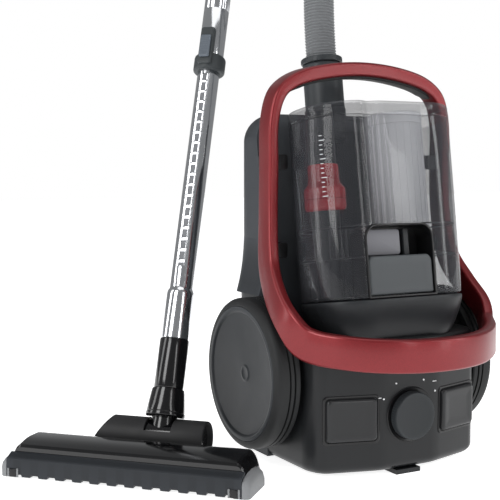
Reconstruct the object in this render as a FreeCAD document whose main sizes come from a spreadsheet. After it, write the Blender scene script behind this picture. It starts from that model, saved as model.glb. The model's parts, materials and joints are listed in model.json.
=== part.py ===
# Canister vacuum cleaner parked upright, with its hose, telescopic wand and floor nozzle.
# Frame: +Z up, -Y is the control panel's side, origin in the middle of the standing foot's face.
# All sizes are millimetres and degrees.
import FreeCAD, Part
import math
import os
import re
import Sketcher
from FreeCAD import Placement, Rotation, Vector

doc = FreeCAD.newDocument("CanisterVacuum")

# Driving dimensions, grouped by the piece they belong to.
sizes = {
    # housing
    "halfWidth": 111.5, "frontReach": 124, "backReach": 74, "splitY": -7, "shellLow": 5,
    "shellHigh": 150, "hullHigh": 394, "shellWall": 2.6, "hullRound": 32, "facetSide": 104.5,
    "facetSideY": -105, "facetFront": 36, "cornerY": -86, "panelRound": 28,
    "footHalfX": 78, "footHalfY": 48, "tabHalf": 16,
    # dust cup, in its own leaning frame
    "cupY": -70, "cupSeat": 187, "cupLean": 8.4, "cupHalfX": 93.5, "cupHalfY": 59, "cupTall": 197,
    "cupWall": 2.4, "cupRound": 52, "lidTall": 15, "gripX": -12, "gripHalf": 45, "gripTall": 79,
    "gripDeep": 31, "gripRound": 16, "latchHalf": 42.1, "latchHigh": 45, "latchTravel": 3,
    "ductRadius": 15, "ductX": -66, "coneRadius": 23.5, "shroudRadius": 33, "shroudX": 40, "shroudY": 9,
    # ring frame
    "ringHigh": 444, "ringSideX": 118, "ringSideY": -20, "ringThick": 13, "ringDeep": 27,
    "bandDeep": 35, "bandZ": 140.5, "bandReach": 181, "barThick": 17,
    # road wheels and caster
    "wheelRadius": 84.5, "wheelY": -6, "wheelZ": 103.5, "wheelIn": 117, "wheelOut": 147,
    "tyreThick": 9, "axleRadius": 6, "runGap": 0.05, "casterZ": 300, "casterRadius": 16,
    "casterTrail": 6, "pocketRadius": 26, "pocketFloor": 36, "casterPin": 2.5,
    # motor and cord reel
    "motorX": -42, "motorY": -49, "motorRadius": 40, "motorFloor": 30, "motorHigh": 118,
    "shaftRadius": 4, "reelX": 54, "reelY": -18, "reelZ": 82, "reelRadius": 58, "reelHalf": 36,
    "reelAxle": 5,
    # controls
    "dialRadius": 26, "dialZ": 65.5, "dialProud": 11, "buttonHalf": 28.5, "buttonLow": 42,
    "buttonHigh": 88, "buttonProud": 5, "buttonTravel": 3, "slideGap": 0.4,
    # hose and its fittings, in the inlet's leaning frame
    "inletX": -2, "inletY": 46, "inletLean": 8.5, "inletRadius": 24.5, "cuffRadius": 23.6,
    "cuffLong": 71, "neckRing": 20, "swivelRadius": 24.8, "hoseRadius": 18.5, "spigotRadius": 20.5,
    # nozzle, in its own turned frame
    "nozzleX": -296.5, "nozzleY": -23.5, "nozzleTurn": -46, "nozzleHalf": 141, "coverHalf": 133,
    "nozzleDeep": 62, "tailHalf": 46, "tailDeep": 118, "soleLow": 2, "soleHigh": 12,
    "coverHigh": 38, "neckX": 6, "neckY": 99.9, "neckZ": 30.5, "neckRadius": 17.5, "neckWall": 3,
    "neckFrom": -77, "neckTo": 60, "barrelHalf": 48, "frontRoller": 5, "rearRoller": 6,
    # telescopic wand, in its own leaning frame
    "wandLean": 20.7, "elbowRadius": 22, "innerRadius": 13.5, "tubeWall": 0.9, "socketRadius": 16,
    "sleeveRadius": 17, "sleeveLow": 54, "sleeveHigh": 111, "socketHigh": 166, "innerHigh": 705,
    "collarLow": 447, "collarHigh": 468, "collarRadius": 19.5, "outerRadius": 15.75,
    "outerHigh": 895, "notchPitch": 13.5, "notchCount": 17, "notchLow": 206, "gripBend": 50,
    "gripRadius": 18.5, "bendRadius": 60, "gripLong": 120, "handleLow": 865,
}
sheet = doc.addObject("Spreadsheet::Sheet", "Sizes")
for row, (word, number) in enumerate(sizes.items(), start=1):
    sheet.set(f"A{row}", word)
    sheet.set(f"B{row}", str(number))
    sheet.setAlias(f"B{row}", word)
doc.recompute()

subparts = []


# ---- helpers that bind everything to the sheet

def bound(words):
    """An expression with every size's name pointed at its cell."""
    return re.sub(r"[A-Za-z]\w+", lambda hit: "Sizes." + hit[0] if hit[0] in sizes else hit[0],
                  str(words))


def value(words):
    result = sheet.evalExpression(bound(words))
    return float(getattr(result, "Value", result))


def bind(thing, **words):
    for name, expression in words.items():
        thing.setExpression(name.replace("_", "."), bound(expression))


def box(x, y, z):
    """A block between two expressions on each axis."""
    block = doc.addObject("Part::Box", "Block")
    bind(block, Length=f"({x[1]}) - ({x[0]})", Width=f"({y[1]}) - ({y[0]})",
         Height=f"({z[1]}) - ({z[0]})", Placement_Base_x=x[0], Placement_Base_y=y[0],
         Placement_Base_z=z[0])
    return block


turnTo = {"z": Rotation(), "x": Rotation(Vector(0, 1, 0), 90), "y": Rotation(Vector(1, 0, 0), -90)}


def rod(axis, radius, low, high, centre=(0, 0)):
    """A cylinder along an axis; centre holds its two other coordinates in x, y, z order."""
    cylinder = doc.addObject("Part::Cylinder", "Rod")
    at = dict(zip([name for name in "xyz" if name != axis], centre))
    at[axis] = low
    cylinder.Placement = Placement(Vector(), turnTo[axis])
    bind(cylinder, Radius=radius, Height=f"({high}) - ({low})", Placement_Base_x=at["x"],
         Placement_Base_y=at["y"], Placement_Base_z=at["z"])
    return cylinder


def fuse(*pieces):
    joined = doc.addObject("Part::MultiFuse", "Joined")
    joined.Shapes = list(pieces)
    joined.Refine = True
    return joined


def cut(base, *tools):
    result = doc.addObject("Part::Cut", "Cut")
    result.Base = base
    result.Tool = tools[0] if len(tools) == 1 else fuse(*tools)
    return result


def group(*pieces):
    """Pieces kept together without joining them."""
    together = doc.addObject("Part::Compound", "Together")
    together.Links = list(pieces)
    return together


def tube(axis, outer, inner, low, high, centre=(0, 0)):
    return cut(rod(axis, outer, low, high, centre),
               rod(axis, inner, f"({low}) - 1", f"({high}) + 1", centre))


def placed(piece, frame):
    """The piece in a frame of its own, ready to be cut or joined."""
    held = group(piece)
    held.Placement = frame
    return held


def outlineOn(body, plane, corners, height=0):
    """A closed sketch of straight edges, each corner bound to two expressions."""
    sketch = body.newObject("Sketcher::SketchObject", "Outline")
    support = next(f for f in body.Origin.OriginFeatures if f.Role == plane)
    sketch.AttachmentSupport = [(support, "")]
    sketch.MapMode = "FlatFace"
    bind(sketch, AttachmentOffset_Base_z=height)
    points = [Vector(value(a), value(b), 0) for a, b in corners]
    count = len(points)
    for i in range(count):
        sketch.addGeometry(Part.LineSegment(points[i - 1], points[i]))
    for i in range(count):
        sketch.addConstraint(Sketcher.Constraint("Coincident", i, 2, (i + 1) % count, 1))
    for i, (point, words) in enumerate(zip(points, corners)):
        for kind, number, word in (("DistanceX", point.x, words[0]), ("DistanceY", point.y, words[1])):
            index = sketch.addConstraint(Sketcher.Constraint(kind, -1, 1, i, 2, number))
            sketch.setExpression(f"Constraints[{index}]", bound(word))
    return sketch


def prism(plane, corners, low, high, rounding=None, pick=lambda middle: True):
    """A padded outline; rounding fillets the edges along the pad that pick accepts."""
    body = doc.addObject("PartDesign::Body", "Body")
    flip = plane == "XZ_Plane"              # this plane's normal points to -Y
    start = f"-({high})" if flip else low
    pad = body.newObject("PartDesign::Pad", "Pad")
    pad.Profile = outlineOn(body, plane, corners, start)
    bind(pad, Length=f"({high}) - ({low})")
    doc.recompute()
    if rounding:
        along = {"XY_Plane": Vector(0, 0, 1), "XZ_Plane": Vector(0, 1, 0), "YZ_Plane": Vector(1, 0, 0)}[plane]
        roundEdges(body, pad, rounding, lambda edge: isAlong(edge, along) and pick(edge.CenterOfMass))
    return body


def isAlong(edge, direction):
    ends = [v.Point for v in edge.Vertexes]
    return len(ends) == 2 and abs((ends[1] - ends[0]).normalize().dot(direction)) > 0.999


def roundEdges(body, feature, radius, accept):
    names = [f"Edge{i + 1}" for i, edge in enumerate(feature.Shape.Edges) if accept(edge)]
    fillet = body.newObject("PartDesign::Fillet", "Fillet")
    fillet.Base = (feature, names)
    bind(fillet, Radius=radius)
    doc.recompute()
    return fillet


def turned(corners):
    """A body of revolution about Z from (radius, height) corners."""
    body = doc.addObject("PartDesign::Body", "Body")
    sketch = outlineOn(body, "XZ_Plane", corners)
    spin = body.newObject("PartDesign::Revolution", "Revolution")
    spin.Profile = sketch
    spin.ReferenceAxis = (sketch, ["V_Axis"])
    spin.Angle = 360
    return body


def rectangle(x, y):
    return [(x[0], y[0]), (x[1], y[0]), (x[1], y[1]), (x[0], y[1])]


def subpart(label, piece, frame=Placement()):
    """Name a finished piece and set it in its frame."""
    if piece.TypeId in ("Part::Box", "Part::Cylinder", "Part::Compound"):
        piece = group(piece)
    piece.Placement = frame.multiply(piece.Placement)
    piece.Label = label
    subparts.append(piece)
    return piece


def bentWire(points, radii):
    """Straight runs joined by tangent arcs of the given radii at the inner points."""
    edges, start = [], points[0]
    for before, corner, after, radius in zip(points, points[1:], points[2:], radii):
        into, out = (corner - before).normalize(), (after - corner).normalize()
        turn = into.getAngle(out)
        reach = radius * math.tan(turn / 2)
        first, last = corner - into * reach, corner + out * reach
        inward = (out - into).normalize()
        middle = corner + inward * (radius / math.cos(turn / 2) - radius)
        edges += [Part.LineSegment(start, first).toShape(), Part.Arc(first, middle, last).toShape()]
        start = last
    edges.append(Part.LineSegment(start, points[-1]).toShape())
    return Part.Wire(edges)


def swept(wire, radius):
    """A solid round bar along a wire, with its radius bound to the sheet."""
    spine = doc.addObject("Part::Feature", "Spine")
    spine.Shape = wire
    circle = doc.addObject("Part::Circle", "Section")
    bind(circle, Radius=radius)
    edge = wire.Edges[0]
    tangent = edge.tangentAt(edge.FirstParameter)
    circle.Placement = Placement(wire.OrderedVertexes[0].Point, Rotation(Vector(0, 0, 1), tangent))
    sweep = doc.addObject("Part::Sweep", "Sweep")
    sweep.Sections, sweep.Spine, sweep.Solid, sweep.Frenet = [circle], spine, True, False
    return sweep


# ---- frames of the leaning and turned groups

xAxis, zAxis = Vector(1, 0, 0), Vector(0, 0, 1)
cupFrame = Placement(Vector(0, value("cupY"), value("cupSeat")), Rotation(xAxis, -value("cupLean")))
inletFrame = Placement(Vector(value("inletX"), value("inletY"), value("hullHigh")),
                       Rotation(xAxis, -value("inletLean")))
nozzleFrame = Placement(Vector(value("nozzleX"), value("nozzleY"), 0), Rotation(zAxis, value("nozzleTurn")))
wandFrame = nozzleFrame.multiply(Placement(Vector(value("neckX"), value("neckY"), value("neckZ")),
                                           Rotation(xAxis, -value("wandLean"))))
facetTurn = math.degrees(math.atan2(value("frontReach + facetSideY"), value("facetSide - facetFront")))
facetFrames = {side: Placement(Vector(side * value("(facetSide + facetFront) / 2"),
                                      value("(facetSideY - frontReach) / 2"), 0),
                               Rotation(zAxis, side * facetTurn)) for side in (-1, 1)}


# ---- housing

def housing():
    wall, cavity = "shellWall", "shellWall + 1"
    plan = [("-halfWidth", "splitY"), ("-halfWidth", "cornerY"), ("-facetSide", "facetSideY"),
            ("-facetFront", "-frontReach"), ("facetFront", "-frontReach"), ("facetSide", "facetSideY"),
            ("halfWidth", "cornerY"), ("halfWidth", "splitY")]
    inner = [("-(halfWidth - shellWall)", "splitY + 1"), ("-(halfWidth - shellWall)", "cornerY"),
             ("-(facetSide - 0.8 * shellWall)", "facetSideY + 0.8 * shellWall"),
             ("-(facetFront - 0.2 * shellWall)", "-(frontReach - shellWall)"),
             ("facetFront - 0.2 * shellWall", "-(frontReach - shellWall)"),
             ("facetSide - 0.8 * shellWall", "facetSideY + 0.8 * shellWall"),
             ("halfWidth - shellWall", "cornerY"), ("halfWidth - shellWall", "splitY + 1")]
    inFront = lambda middle: middle.y < value("splitY") - 1
    axleHole = rod("x", "axleRadius + 0.1", "-halfWidth - 1", "halfWidth + 1", ("wheelY", "wheelZ"))
    windows = [placed(box(("-buttonHalf - slideGap", "buttonHalf + slideGap"), (-12, 20),
                          ("buttonLow - slideGap", "buttonHigh + slideGap")), facetFrames[side])
               for side in (-1, 1)]
    subpart("front_shell", cut(
        prism("XY_Plane", plan, "shellLow", "shellHigh", "panelRound", inFront),
        prism("XY_Plane", inner, "shellLow + shellWall", "shellHigh - shellWall",
              "panelRound - shellWall", inFront),
        rod("z", "motorRadius - 8", "shellHigh - 5", "shellHigh + 1", ("motorX", "motorY")),
        rod("y", "shaftRadius + runGap", "-frontReach - 1", "-frontReach + shellWall + 1", (0, "dialZ")),
        axleHole, *windows))

    top = "splitY + (hullHigh - cupSeat) * tan(cupLean)"
    side = [("splitY", "shellLow"), ("backReach - 8", "shellLow"), ("backReach", "shellLow + 12"),
            ("backReach", "hullHigh"), (top, "hullHigh"), ("splitY", "cupSeat")]
    inside = [("splitY - 1", "shellLow + shellWall"), ("backReach - 9", "shellLow + shellWall"),
              ("backReach - shellWall", "shellLow + 13"), ("backReach - shellWall", "hullHigh - shellWall"),
              (f"{top} + shellWall", "hullHigh - shellWall"), ("splitY + shellWall", "cupSeat"),
              ("splitY + shellWall", "shellHigh"), ("splitY - 1", "shellHigh")]
    hull = hullBody(side, "halfWidth", "hullRound", value("backReach"), value("hullHigh"))
    hollow = hullBody(inside, "halfWidth - shellWall", "hullRound - shellWall",
                      value("backReach - shellWall"), value("hullHigh - shellWall"))
    boss = rod("y", "pocketRadius + 2", "pocketFloor - 3", "backReach - 0.5", (0, "casterZ"))
    screwAt = [(x, z) for x in (-84, 84) for z in (36, 222)]
    subpart("rear_hull", cut(
        fuse(cut(hull, hollow), boss),
        rod("y", "pocketRadius", "pocketFloor", "backReach + 1", (0, "casterZ")),
        rod("y", "shaftRadius + runGap", "pocketFloor - 4", "pocketFloor + 1", (0, "casterZ")),
        placed(rod("z", "inletRadius + 0.15", -44, 20), inletFrame),
        box((-60, 60), ("backReach - 4", "backReach + 1"), (112, 188)),
        rod("y", 8.1, "backReach - 4", "backReach + 1", (70, 62)),
        rod("x", "axleRadius + 0.1", "-halfWidth - 1", "halfWidth + 1", ("wheelY", "wheelZ")),
        *[rod("y", 1.9, "backReach - 4", "backReach + 1", at) for at in screwAt]))
    subpart("housing_screws", group(*[
        fuse(rod("y", 1.75, "backReach - 14", "backReach + 0.1", at),
             rod("y", 4, "backReach + 0.1", "backReach + 2", at)) for at in screwAt]))

    subpart("base_foot", fuse(
        prism("XY_Plane", rectangle(("-footHalfX", "footHalfX"), ("-footHalfY", "footHalfY")), 0,
              "shellLow", 14),
        box(("-tabHalf", "tabHalf"), ("-frontReach + 1.5", "-footHalfY + 5"), (0, "shellLow"))))

    shape = rectangle(("-cupHalfX", "cupHalfX"), ("-cupHalfY", "cupHalfY"))
    room = rectangle(("-cupHalfX + 3", "cupHalfX - 3"), ("-cupHalfY + 3", "cupHalfY - 3"))
    deck = prism("XY_Plane", shape, -60, -0.3, "cupRound")
    well = prism("XY_Plane", room, -70, -3.5, "cupRound - 3")
    deck.Placement = well.Placement = cupFrame
    subpart("seat_deck", cut(deck, well, placed(rod("z", 14, -10, 5), cupFrame),
                             box((-200, 200), (-200, 200), (0, "shellHigh"))))
    subpart("foam_filter", prism("XY_Plane", rectangle((-64, 64), (-40, 40)), -18, -3.8, 20), cupFrame)

    subpart("exhaust_grille", cut(
        box((-59.8, 59.8), ("backReach - shellWall", "backReach"), (112.2, 187.8)),
        *[box((-52, 52), ("backReach - 5", "backReach + 1"), (z, z + 3.5)) for z in range(120, 180, 8)]))
    subpart("exhaust_filter", box((-56, 56), ("backReach - shellWall - 13", "backReach - shellWall - 0.3"),
                                  (115, 185)))
    subpart("cord_outlet", fuse(tube("y", 8, 4.2, "backReach - 10", "backReach + 0.1", (70, 62)),
                                tube("y", 11, 4.2, "backReach + 0.1", "backReach + 2", (70, 62))))


def hullBody(profile, half, rounding, back, top):
    """The hull's side view padded across, with its back and top edges rounded."""
    body = prism("YZ_Plane", profile, f"-({half})", half)

    def outer(edge):
        middle, edgeHalf = edge.CenterOfMass, value(half)
        atSide = abs(abs(middle.x) - edgeHalf) < 0.01
        onBack = abs(middle.y - back) < 0.01
        onTop = abs(middle.z - top) < 0.01
        ends = [v.Point for v in edge.Vertexes]
        tall = abs(ends[0].z - ends[1].z) > 50 or onTop
        return (atSide and (onBack or onTop) and tall) or (onBack and onTop)
    roundEdges(body, body.Tip, rounding, outer)
    return body


# ---- ring frame

def ringFrame():
    x, y, high = value("ringSideX"), value("ringSideY"), value("ringHigh")
    front, low = -value("bandReach"), value("bandZ")
    thick, bar = value("ringThick"), value("barThick")
    deep, band = value("ringDeep"), value("bandDeep")
    half = [  # centre, outward way, thickness and depth, from the band's middle up one side
        ((0, front, low), (0, -1, 0), thick + 1, band),
        ((0.44 * x, front + 10, low + 0.5), (0.3, -0.95, 0), thick + 1, band),
        ((0.805 * x, front + 39, low + 3), (0.62, -0.78, 0), thick + 1, band),
        ((x + 4, front + 75, low + 9.5), (0.84, -0.54, 0), thick, band),
        ((x + 14, y - 65, low + 30), (0.95, -0.31, 0), thick, band - 4),
        ((x + 12.5, y - 37, low + 54), (1, -0.1, 0), thick, band - 4),
        ((x + 6.5, y - 12, low + 86), (1, 0, 0), thick, deep + 4),
        ((x + 1.5, y - 1.5, low + 140), (1, 0, 0), thick, deep),
        ((x, y, high - 109), (1, 0, 0), thick, deep), ((x - 1, y, high - 58), (1, 0, 0.12), thick, deep),
        ((x - 13, y, high - 26), (0.62, 0, 0.78), thick + 2, deep),
        ((0.6 * x, y, high - 8.5), (0.24, 0, 0.97), bar, deep)]
    top = ((0, y, high), (0, 0, 1), bar, deep)
    mirrored = [((-c[0], c[1], c[2]), (-n[0], n[1], n[2]), t, d) for c, n, t, d in half[1:]]
    stations = half + [top] + mirrored[::-1]
    marks = [0]
    for one, other in zip(stations, stations[1:] + stations[:1]):
        marks.append(marks[-1] + (Vector(*other[0]) - Vector(*one[0])).Length)

    count, steps = len(stations), 8
    rows = [[*centre, *outward, thick, deep] for centre, outward, thick, deep in stations]
    span = [marks[i + 1] - marks[i] for i in range(count)]
    slope = [[(c - a) / (span[i] + span[i - 1]) for a, c in zip(rows[i - 1], rows[(i + 1) % count])]
             for i in range(count)]
    wires = []
    for i in range(count):
        j = (i + 1) % count
        for step in range(steps):
            t = step / steps
            keep, lead, trail = (1 + 2 * t) * (1 - t) ** 2, t * (1 - t) ** 2 * span[i], t * t * (t - 1) * span[i]
            row = [keep * a + (1 - keep) * b + lead * u + trail * v
                   for a, b, u, v in zip(rows[i], rows[j], slope[i], slope[j])]
            speed = [6 * t * (t - 1) * (a - b) + ((1 - t) * (1 - 3 * t) * u + t * (3 * t - 2) * v) * span[i]
                     for a, b, u, v in zip(rows[i][:3], rows[j][:3], slope[i], slope[j])]
            along, out = Vector(*speed).normalize(), Vector(*row[3:6])
            out = (out - along * out.dot(along)).normalize()
            wires.append(ringSection(Vector(*row[:3]), out, along.cross(out), row[6] / 2, row[7] / 2))
    ring = Part.makeLoft(wires, True, True, True)
    frame = doc.addObject("Part::Feature", "RingFrame")
    frame.Shape = ring
    reach = "splitY + ({z} - cupSeat) * tan(cupLean) - 0.3"
    lugs = [box(x, ("ringSideY - 6", reach.format(z=z)), (z, z + 18))
            for x in (("cupHalfX + 2.5", "ringSideX - 4"), ("-ringSideX + 4", "-cupHalfX - 2.5"))
            for z in (232, 330)]
    return frame, lugs


def ringSection(centre, out, wide, halfThick, halfDeep):
    """A rounded rectangle across the ring."""
    soft = 0.35 * halfThick
    corner = [(1, 1), (-1, 1), (-1, -1), (1, -1)]
    points = []
    for a, b in corner:
        edge = [(a * halfThick, b * (halfDeep - soft)), (a * (halfThick - soft), b * halfDeep)]
        points += edge if a * b > 0 else edge[::-1]
    points = [centre + out * a + wide * b for a, b in points]
    return Part.makePolygon(points + [points[0]])


# ---- dust cup

def dustCup():
    shape = rectangle(("-cupHalfX", "cupHalfX"), ("-cupHalfY", "cupHalfY"))
    room = rectangle(("-cupHalfX + cupWall", "cupHalfX - cupWall"), ("-cupHalfY + cupWall", "cupHalfY - cupWall"))
    rim, roof = "cupTall + 0.3", "cupTall + lidTall"
    upper = lambda middle: middle.z > 10
    notch = prism("XZ_Plane", rectangle(("gripX - gripHalf - 0.3", "gripX + gripHalf + 0.3"), (-1, "gripTall + 0.3")),
                  "-cupHalfY - 1", "-cupHalfY + gripDeep + 0.3", "gripRound", upper)
    subpart("dust_cup", cut(prism("XY_Plane", shape, 0, "cupTall", "cupRound"),
                            prism("XY_Plane", room, "cupWall", "cupTall + 1", "cupRound - cupWall"),
                            notch), cupFrame)
    subpart("cup_lid", cut(prism("XY_Plane", shape, rim, roof, "cupRound"),
                           prism("XY_Plane", room, "cupTall - 1", "cupTall + lidTall - cupWall",
                                 "cupRound - cupWall")), cupFrame)
    grip = prism("XZ_Plane", rectangle(("gripX - gripHalf", "gripX + gripHalf"), (0, "gripTall")), "-cupHalfY",
                 "-cupHalfY + gripDeep", "gripRound", upper)
    recess = prism("XZ_Plane", rectangle(("gripX - gripHalf + 2.5", "gripX + gripHalf - 2.5"), (2.5, "gripTall - 2.5")),
                   "-cupHalfY - 1", "-cupHalfY + gripDeep - 2.5", "gripRound - 2.5", upper)
    subpart("cup_grip", cut(grip, recess), cupFrame)
    pad = prism("XZ_Plane", rectangle(("gripX - latchHalf", "gripX + latchHalf"), (3, "latchHigh")),
                "-cupHalfY + 2", "-cupHalfY + 10", 7, upper)
    subpart("cup_latch", pad, cupFrame)
    subpart("inlet_duct", tube("z", "ductRadius", "ductRadius - 2", "cupWall + 0.3", "cupTall + lidTall - cupWall - 0.3",
                               ("ductX", 0)), cupFrame)
    cone = turned([("ductRadius + 0.3", 98), ("coneRadius - 3", 98), ("coneRadius", 106),
                   ("coneRadius", 144), ("coneRadius - 4", 150), ("ductRadius + 0.3", 150)])
    cone.Placement = Placement(Vector(value("ductX"), 0, 0), Rotation())
    subpart("cyclone_cone", cone, cupFrame)
    shroud = turned([("shroudRadius - 2", 66), ("shroudRadius", 66), ("shroudRadius", "cupTall + lidTall - cupWall - 0.3"),
                     ("shroudRadius - 2", "cupTall + lidTall - cupWall - 0.3")])
    shroud.Placement = Placement(Vector(value("shroudX"), value("shroudY"), 0), Rotation())
    subpart("mesh_shroud", shroud, cupFrame)


# ---- wheels and caster

def wheels():
    inner = "wheelRadius - tyreThick"
    bore = "axleRadius + runGap"
    disc = [(0, "wheelOut - 4"), (62, "wheelOut - 4"), (66, "wheelOut"), (inner, "wheelOut"),
            (inner, "wheelIn + 2"), (f"{inner} - 4", "wheelIn + 2"), (f"{inner} - 4", "wheelOut - 8"),
            (15, "wheelOut - 8"), (15, "wheelIn + 1"), (bore, "wheelIn + 1"), (bore, "wheelOut - 7"),
            (0, "wheelOut - 7")]
    tread = [(f"{inner} + 0.05", "wheelIn"), ("wheelRadius - 3", "wheelIn"), ("wheelRadius", "wheelIn + 3"),
             ("wheelRadius", "wheelIn + 12"), ("wheelRadius - 2", "wheelIn + 13"),
             ("wheelRadius - 2", "wheelIn + 16"), ("wheelRadius", "wheelIn + 17"),
             ("wheelRadius", "wheelOut - 6"), ("wheelRadius - 4", "wheelOut - 1"),
             (f"{inner} + 0.05", "wheelOut - 1")]
    for side, name in ((-1, "left"), (1, "right")):
        frame = Placement(Vector(0, value("wheelY"), value("wheelZ")), Rotation(Vector(0, 1, 0), 90 * side))
        subpart(f"wheel_{name}", turned(disc), frame)
        subpart(f"tyre_{name}", turned(tread), frame)
    axles = []
    for side in (-1, 1):
        axle = turned([(0, "halfWidth - 8"), ("axleRadius", "halfWidth - 8"), ("axleRadius", "halfWidth + 0.1"),
                       (13, "halfWidth + 0.1"), (13, "halfWidth + 2.5"), ("axleRadius", "halfWidth + 2.5"),
                       ("axleRadius", "wheelOut - 7.4"), (0, "wheelOut - 7.4")])
        axle.Placement = Placement(Vector(0, value("wheelY"), value("wheelZ")),
                                   Rotation(Vector(0, 1, 0), 90 * side))
        axles.append(axle)
    subpart("wheel_axles", group(*axles))


def caster():
    wheelZ = "casterZ - casterTrail"
    rollY = "wheelY + wheelRadius - casterRadius"
    ears = [box(x, ("pocketFloor + 4", f"{rollY} + 5"), (f"{wheelZ} - 8", f"{wheelZ} + 8"))
            for x in ((9.2, 12.2), (-12.2, -9.2))]
    fork = fuse(rod("y", "pocketRadius - 1.5", "pocketFloor + 1", "pocketFloor + 4.5", (0, "casterZ")),
                rod("y", "shaftRadius", "pocketFloor - 5", "pocketFloor + 1.5", (0, "casterZ")),
                rod("y", "shaftRadius + 2", "pocketFloor - 6", "pocketFloor - 3.3", (0, "casterZ")), *ears)
    subpart("caster_fork", cut(fork, rod("x", "casterPin + runGap", -20, 20, (rollY, wheelZ))))
    subpart("caster_wheel", tube("x", "casterRadius", "casterPin + runGap", -8.6, 8.6, (rollY, wheelZ)))
    subpart("caster_axle", rod("x", "casterPin", -12.8, 12.8, (rollY, wheelZ)))


# ---- motor, cord reel and electrics

def motor():
    at = ("motorX", "motorY")
    low = "shellLow + shellWall + 0.2"
    subpart("motor_can", cut(rod("z", "motorRadius", low, "motorHigh", at),
                             rod("z", "motorRadius - 2", "motorFloor + 3", "motorHigh + 1", at),
                             rod("z", "motorRadius - 4", "shellLow", "motorFloor", at),
                             rod("z", "shaftRadius + runGap", "shellLow", "motorHigh", at)))
    subpart("motor_rotor", fuse(rod("z", "shaftRadius", "motorFloor", "motorHigh + 2.5", at),
                                rod("z", "motorRadius - 14", "motorFloor + 8", "motorHigh - 24", at),
                                rod("z", "motorRadius - 5", "motorHigh - 14", "motorHigh - 3", at)))
    eye = "(motorRadius - 6) / 2"
    holes = [rod("z", 6, "motorHigh - 1", "motorHigh + 5",
                 (f"motorX + {eye} * cos({60 * i})", f"motorY + {eye} * sin({60 * i})")) for i in range(6)]
    subpart("fan_cover", cut(rod("z", "motorRadius", "motorHigh + 0.1", "motorHigh + 3", at),
                             rod("z", "shaftRadius + runGap", "motorHigh - 1", "motorHigh + 5", at), *holes))
    subpart("motor_seal", tube("z", "motorRadius", "motorRadius - 7", "motorHigh + 3.2",
                               "shellHigh - shellWall - 0.2", at))


def reel():
    at = ("reelY", "reelZ")
    low, high = "reelX - reelHalf", "reelX + reelHalf"
    drum = fuse(rod("x", "reelRadius", low, f"{low} + 2.5", at), rod("x", 26, low, high, at),
                rod("x", "reelRadius", f"{high} - 2.5", high, at))
    subpart("reel_drum", cut(drum, rod("x", "reelAxle + runGap", f"{low} - 1", f"{high} + 1", at)))
    subpart("reel_axle", rod("x", "reelAxle", f"{low} - 8", "halfWidth - shellWall - 0.3", at))
    subpart("reel_frame", cut(box((f"{low} - 7", f"{low} - 4.5"), ("reelY - 22", "reelY + 22"),
                                  ("shellLow + shellWall + 0.2", "reelZ + 16")),
                              rod("x", "reelAxle + 0.1", f"{low} - 9", low, at)))
    subpart("reel_spring", tube("x", 21, "reelAxle + 1", f"{low} - 4.3", f"{low} - 0.5", at))


def controls():
    face = "-(frontReach + dialProud)"
    subpart("suction_dial", fuse(rod("y", "dialRadius", face, "-frontReach - 0.5", (0, "dialZ")),
                                 rod("y", "shaftRadius", "-frontReach - 1", "-frontReach + 14", (0, "dialZ"))))
    subpart("control_board", fuse(
        tube("y", 8, "shaftRadius + runGap", "-frontReach + shellWall + 0.2", "-frontReach + 19", (0, "dialZ")),
        box((-30, 30), ("-frontReach + 19", "-frontReach + 20.6"), ("dialZ - 26", "dialZ + 26"))))
    button = lambda: box(("-buttonHalf", "buttonHalf"), ("-buttonProud", 9), ("buttonLow", "buttonHigh"))
    subpart("power_button", button(), facetFrames[-1])
    subpart("rewind_button", button(), facetFrames[1])
    blocks = []
    for side in (-1, 1):
        blocks.append(placed(box((-9, 9), (17, 23), ("shellLow + shellWall + 0.2", 76)), facetFrames[side]))
        blocks.append(placed(rod("y", 5, "9.3 + buttonTravel", 16.8, (0, 66)), facetFrames[side]))
    subpart("switch_blocks", group(*blocks))


# ---- hose fittings and hose

def hoseParts():
    subpart("hose_inlet", tube("z", "inletRadius", "spigotRadius + 0.4", -30, 9), inletFrame)
    cuff = turned([("spigotRadius - 3", -22), ("spigotRadius", -22), ("spigotRadius", 9.3), ("cuffRadius", 9.3),
                   ("cuffRadius", "cuffLong - 8"), ("neckRing", "cuffLong - 8"), ("neckRing", "cuffLong"),
                   ("spigotRadius - 3", "cuffLong")])
    subpart("hose_cuff", cuff, inletFrame)
    subpart("swivel_ring", tube("z", "swivelRadius", "neckRing + runGap", "cuffLong - 7.7", "cuffLong - 0.3"),
            inletFrame)
    hoseStart = inletFrame.multVec(Vector(0, 0, value("cuffLong")))
    hoseEnd, endWay = gripEnd()
    route = [hoseStart, Vector(-2, 81, 627), Vector(90, 90, 746), Vector(234, 100, 784),
             Vector(364, 148, 735), Vector(448, 255, 680), Vector(480, 399, 683), Vector(473, 517, 766),
             Vector(417, 566, 890), Vector(318, 539, 992), hoseEnd + endWay * 120, hoseEnd]
    radii = []
    for before, corner, after in zip(route, route[1:], route[2:]):
        into, out = corner - before, after - corner
        shorter = min(into.Length, out.Length)
        radii.append(0.45 * shorter / math.tan(into.getAngle(out) / 2))
    wire = bentWire(route, radii)
    hose = swept(wire, "hoseRadius")
    subpart("hose", hose)
    doc.recompute()
    section = math.pi * value("hoseRadius") ** 2
    print("hose length", round(wire.Length), "runs", [round((b - a).Length) for a, b in zip(route, route[1:])])
    print("hose radii", [round(r) for r in radii], "volume over section",
          round(hose.Shape.Volume / section))


# ---- telescopic wand

def gripWire(low):
    bend = math.radians(value("gripBend"))
    lead = value("bendRadius") * math.tan(bend / 2)
    corner = Vector(0, 0, value("outerHigh + 40") + lead)
    end = corner + Vector(0, math.sin(bend), math.cos(bend)) * (lead + value("gripLong"))
    return [Vector(0, 0, value(low)), corner, end], [value("bendRadius")]


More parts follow.
